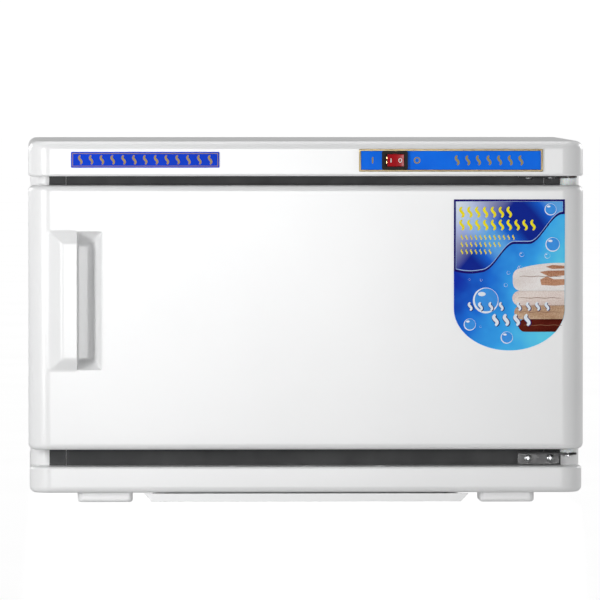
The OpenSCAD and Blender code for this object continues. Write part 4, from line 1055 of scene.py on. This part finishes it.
class Label:
    """A foil label: blue field, wavy glowing panel, bubbles, folded towels and steam marks."""

    def __init__(self):
        self.low, self.high = box_mm("door_label")
        self.width = self.high.x - self.low.x
        self.height = self.high.z - self.low.z
        self.foot_x, self.foot_z = self.width / 2, 34.0

    def at(self, u, v):
        return (self.low.x + u, self.low.z + v)

    def layer(self, name, outline, level, material, height=0.5):
        """A printed area, level inks thick above the foil."""
        top = self.low.y - INK * level
        piece = prism(name, [self.at(u, v) for u, v in outline], top, top + INK * height, "Y")
        return place_piece(piece, material, "door", "label_print")

    def outline(self):
        """Straight sides and top over a half-elliptical foot."""
        foot = arc(self.foot_x, self.foot_z, self.foot_x, self.foot_z, 180, 360, 48)
        return foot + [(self.width, self.height), (0.0, self.height)]

    def side_x(self, v):
        """How far the label's right edge lies from its middle line at a height."""
        if v >= self.foot_z:
            return self.width
        down = (self.foot_z - v) / self.foot_z
        return self.width - self.foot_x + self.foot_x * math.sqrt(max(0.0, 1 - down ** 2))

    def wave(self, u):
        """Height of the panel's lower edge: a shallow dip, then two smooth climbs to the right."""
        dip = 1.9 * math.sin(math.pi * min(u, 27.0) / 27.0)
        return 64.2 - dip + 22.0 * smooth_step((u - 24.0) / 25.0) + 24.2 * smooth_step((u - 61.0) / 27.0)

    def above_wave(self, left, right, rise, top):
        """Outline of the area over the wavy edge."""
        steps = 60
        along = [left + (right - left) * k / steps for k in range(steps + 1)]
        return [(u, self.wave(u) + rise) for u in along] + [(right, top), (left, top)]

    def build(self):
        navy = printed("label_navy", (0.010, 0.002, 0.15))
        white = printed("label_white", (0.84, 0.90, 0.98))
        glow = printed("label_edge_glow", (0.38, 0.55, 0.90))
        yellow = printed("label_yellow", (0.95, 0.82, 0.02))
        foil = prism("label_foil", [self.at(u, v) for u, v in self.outline()], self.low.y, self.high.y, "Y")
        place_piece(foil, MATERIALS["label_print"], "door", "label_print", "door_label")

        top, edge = self.height, 1.6
        self.layer("label_navy_edge", self.above_wave(0.0, self.width, 0.0, top), 1, navy, 0.8)
        for name, rise, side, level, ink in (
            ("label_edge_glow", 1.9, edge, 2, glow), ("label_panel", 2.6, edge + 0.25, 3, glow_panel()),
        ):
            self.layer(name, self.above_wave(side, self.width - side, rise, top - side), level, ink, 0.8)
        self.bubbles(white)
        self.towels()
        self.steam_marks(yellow, white, navy)

    def bubbles(self, white):
        """Thin rings, each with a bright fleck at its upper left."""
        spots = [
            (78.3, 114.2, 4.8), (80.0, 85.8, 5.8), (75.8, 76.7, 2.3), (55.1, 77.8, 1.9), (53.6, 66.6, 2.1),
            (44.3, 62.9, 1.4), (42.1, 52.9, 1.5), (25.8, 40.5, 10.4), (12.9, 21.0, 4.9), (42.9, 10.4, 4.9),
            (21.6, 19.3, 0.8), (12.7, 57.4, 0.7), (22.2, 57.0, 1.0),
        ]
        glass = printed("label_bubble_glass", (0.055, 0.33, 0.88))
        rings = []
        for i, (u, v, r) in enumerate(spots):
            x, z = self.at(u, v)
            level = 4 if v > self.wave(u) else 2
            top = self.low.y - INK * level
            if r > 4:
                circle = arc(x, z, r * 0.93, r * 0.93, 0, 354, 59)
                disc = prism(f"disc_{i}", circle, top + INK * 0.4, top + INK * 0.9, "Y")
                place_piece(disc, glass, "door", "label_print")
                disc.name = f"label_bubble_disc_{i}"
            shift = 0.16 * r
            ring = ring_outline(f"ring_{i}", x, z, (r, r), (r * 0.90, r * 0.90), top, top + INK * 0.6, 48)
            for vertex in ring.data.vertices:
                local_x, local_z = vertex.co.x / MM - x, vertex.co.z / MM - z
                radius = math.hypot(local_x, local_z)
                if radius < r * 0.95:
                    vertex.co.x += shift * 0.30 * MM
                    vertex.co.z += shift * 0.30 * MM
            rings.append(ring)
            if r > 1.8:
                unit_circle = arc(0, 0, 1, 1, 0, 350, 20)
                fleck = [(x - 0.30 * r + 0.30 * r * a, z + 0.50 * r + 0.17 * r * b) for a, b in unit_circle]
                rings.append(prism(f"fleck_{i}", fleck, top, top + INK * 0.6, "Y"))
        place_piece(joined("label_bubbles", rings), white, "door", "label_print")

    def towels(self):
        """Four folded towels seen from their folds, cut off by the label's right edge."""
        kinds = [
            ("label_towel_brown", 15.1, 10.3, 52.5, (0.055, 0.004, 0.002), (0.15, 0.018, 0.010)),
            ("label_towel_tan", 25.2, 11.3, 49.0, (0.46, 0.27, 0.16), (0.74, 0.54, 0.38)),
            ("label_towel_rose", 36.3, 12.0, 47.4, (0.66, 0.50, 0.44), (0.88, 0.79, 0.74)),
            ("label_towel_white", 48.1, 18.6, 47.8, (0.78, 0.70, 0.67), (0.93, 0.90, 0.88)),
        ]
        fold_ink = printed("label_fold", (0.30, 0.14, 0.08))
        for i, (name, foot, thick, start, dark, light) in enumerate(kinds):
            radius = min(thick / 2, 7.0)
            outline = arc(start + radius, foot + radius, radius, radius, 270, 180, 12)
            outline += arc(start + radius, foot + thick - radius, radius, radius, 180, 90, 12)
            if i == 3:
                steps, swell = 14, 4.2
                for k in range(1, steps + 1):
                    rise = swell * math.sin(0.5 * math.pi * k / steps) ** 0.8
                    outline.append((start + radius + 30.0 * k / steps, foot + thick + rise))
                thick += swell
            levels = [foot + thick * k / 10 for k in range(10, -1, -1)]
            right = [(self.side_x(v) - 0.15, v) for v in levels]
            self.layer(name, outline + right, 3, terry(name, dark, light), 0.8)
            length = self.width - 1.5 - start - radius
            crease = [
                (start + radius * 0.8 + length * k / 20, foot + thick * 0.52 + 0.25 * math.sin(k * 0.9))
                for k in range(21)
            ]
            self.layer(name + "_crease", ribbon(crease, 0.45), 4, fold_ink, 0.8)
        right = self.width - 0.3
        brown = terry("label_towel_fold", (0.30, 0.10, 0.05), (0.62, 0.33, 0.20))
        folds = [
            [(74.5, 67.8), (80.0, 69.2), (right, 68.6), (right, 66.4), (80.0, 66.0)],
            [(69.5, 63.6), (76.0, 64.6), (right, 64.8), (right, 60.8), (84.0, 60.2), (78.0, 59.4)],
            [(70.0, 57.4), (75.5, 60.0), (81.0, 57.6), (right, 57.8), (right, 53.2), (82.0, 52.4), (71.0, 53.0)],
        ]
        for k, fold in enumerate(folds):
            self.layer(f"label_towel_fold_{k}", fold, 4, brown, 0.8)

    def steam_marks(self, yellow, white, navy):
        """Generic warmth symbols. Each row is (first u, step, count, v, height)."""
        yellow_rows = [(6.5, 6.4, 7, 112.0, 8.4), (6.5, 6.4, 10, 101.6, 8.2)]
        yellow_rows += [(6.5, 3.8, count, 91.6 - 5.8 * row, 3.8) for row, count in enumerate((12, 9, 7))]
        white_rows = [(13.2, 8.4, 4, 35.7, 6.6), (52.7, 7.6, 4, 35.7, 6.6), (33.7, 8.6, 4, 24.7, 9.0)]
        self.marks("label_steam_yellow", yellow_rows, 5, 0.27, yellow)
        self.marks("label_steam_shadow", white_rows, 5, 0.46, navy, 0.3)
        self.marks("label_steam_white", white_rows, 6, 0.33, white)

    def marks(self, name, rows, level, boldness, ink, drop=0.0):
        """Rows of upright waves, each as wide as its height times boldness."""
        top = self.low.y - INK * level
        shapes = []
        for start, step, count, v, height in rows:
            for k in range(count):
                x, z = self.at(start + step * k + drop, v - drop)
                outline = steam(x, z, height, 0.15 * height, boldness * height)
                shapes.append(prism(f"{name}_{len(shapes)}", outline, top, top + INK * 0.8, "Y"))
        place_piece(joined(name, shapes), ink, "door", "label_print")


# ---------------------------------------------------------------- the remaining nodes


def build_refined_nodes():
    """CAD shapes that are right as they are, with their edges broken."""
    widths = {
        "front_frame": 0.3, "frame_side_trims": 0.3, "chamber_liner": 0.3, "shelf_rails": 0.25,
        "rail_rivets": 0.25, "door_inner_panel": 0.4, "door_liner_plate": 0.2, "door_magnets": 0.3,
        "hinge_bushes": 0.4, "hinge_pins": 0.3, "lower_hinge_bracket": 0.3, "upper_hinge_bracket": 0.3,
        "strike_plates": 0.2, "drip_tray": 0.3, "tray_guides": 0.25, "back_panel": 0.2, "cord_gland": 0.5,
    }
    for node, width in widths.items():
        refined(node, width)


def colour_hidden_nodes():
    """Nodes that keep their CAD mesh get their slot's material."""
    for node, obj in frame["nodes"].items():
        set_material(obj, MATERIALS[SLOT_OF[node]])


# ---------------------------------------------------------------- studio


def camera_only(nodes, links, socket, seen, unseen):
    """Gives a socket one value for camera rays and another one for all the others."""
    paths = nodes.new("ShaderNodeLightPath")
    span = nodes.new("ShaderNodeMapRange")
    span.inputs["To Min"].default_value = unseen
    span.inputs["To Max"].default_value = seen
    links.new(paths.outputs["Is Camera Ray"], span.inputs["Value"])
    links.new(span.outputs["Result"], socket)


def build_stage():
    """A white studio floor that gives a faint mirror image of what stands on it."""
    size = 30000.0
    corners = [(-size, -size, 0), (size, -size, 0), (size, size, 0), (-size, size, 0)]
    floor = new_object("studio_floor", corners, [(0, 1, 2, 3)])
    if floor.data.polygons[0].normal.z < 0:
        floor.data.flip_normals()
    shader = Shader(
        "studio_floor", Metallic=1.0, Specular_Tint=(0.12, 0.12, 0.12, 1.0), Emission_Color=(1.0, 1.0, 1.0, 1.0))
    shader.colour(shader.ramp(shader.noise(3, 2.0), (0.3, (0.05, 0.05, 0.05)), (0.7, (0.06, 0.06, 0.06))))
    shader.roughness(0.10, 0.16, 4)
    glow = shader.surface.inputs["Emission Strength"]
    camera_only(shader.tree.nodes, shader.tree.links, glow, 0.94, FLOOR_GLOW)
    set_material(floor, shader.material)


def area_light(name, place, target, size, power):
    light = bpy.data.lights.new(name, "AREA")
    light.shape = "RECTANGLE"
    light.size, light.size_y = size
    light.energy = power
    obj = bpy.data.objects.new(name, light)
    obj.location = place
    obj.rotation_euler = (Vector(target) - Vector(place)).to_track_quat("-Z", "Y").to_euler()
    obj.visible_camera = False
    bpy.context.scene.collection.objects.link(obj)
    return obj


FLOOR_GLOW, WORLD_GLOW = 0.42, 0.12


def build_lights():
    """A far light for the sheen of the flat fronts, a nearer key at the front left and weak fills."""
    front = (0.0, -3.2, 0.28), (0.0, 0.0, 0.15), (0.35, 0.35)
    area_light("sheen", *front, 27).visible_diffuse = False
    area_light("front_fill", *front, 15).visible_glossy = False
    area_light("key", (-0.80, -0.98, 0.32), (-0.18, -0.16, 0.15), (0.2, 0.5), 7)
    area_light("side_fill", (1.6, -0.55, 0.3), (0.2, -0.1, 0.15), (0.3, 0.5), 4.5).visible_glossy = False
    area_light("overhead", (0.0, 0.2, 1.6), (0.0, 0.0, 0.2), (1.4, 1.2), 13)
    area_light("rear_right", (1.5, 1.3, 0.7), (0.0, 0.1, 0.15), (1.0, 0.8), 14)
    area_light("rear_left", (-1.5, 1.3, 0.7), (0.0, 0.1, 0.15), (1.0, 0.8), 14)

    world = bpy.data.worlds.new("studio")
    bpy.context.scene.world = world
    world.use_nodes = True
    nodes, links = world.node_tree.nodes, world.node_tree.links
    background = next(n for n in nodes if n.type == "BACKGROUND")
    background.inputs["Color"].default_value = (1.0, 1.0, 1.0, 1.0)
    camera_only(nodes, links, background.inputs["Strength"], 1.05, WORLD_GLOW)


def build_camera():
    """A long lens, slightly to the left of the cabinet's middle line and a little above its centre."""
    data = bpy.data.cameras.new("camera")
    camera = bpy.data.objects.new("camera", data)
    bpy.context.scene.collection.objects.link(camera)
    front = box_mm("door_label")[1].y * MM
    distance, view_width = 7.4, 0.4856
    aim = Vector((-0.0053, front, 0.1643))
    camera.location = aim + Vector((-0.218, -distance, 0.205))
    camera.rotation_euler = (aim - camera.location).to_track_quat("-Z", "Y").to_euler()
    data.sensor_width = 36.0
    data.lens = data.sensor_width * (aim - camera.location).length / view_width
    data.clip_start, data.clip_end = 0.5, 90.0
    bpy.context.scene.camera = camera
    bpy.context.scene.view_settings.view_transform = "Standard"


# ---------------------------------------------------------------- build

colour_hidden_nodes()
build_mouldings()
build_feet()
build_side_panels()
build_refined_nodes()
build_screws()
build_hinge_screws()
DoorShape().build()
build_gasket()
build_wire_shelf()
build_water_tray()
build_name_plate()
build_control_panel()
build_switch()
Label().build()
build_stage()
build_lights()
build_camera()
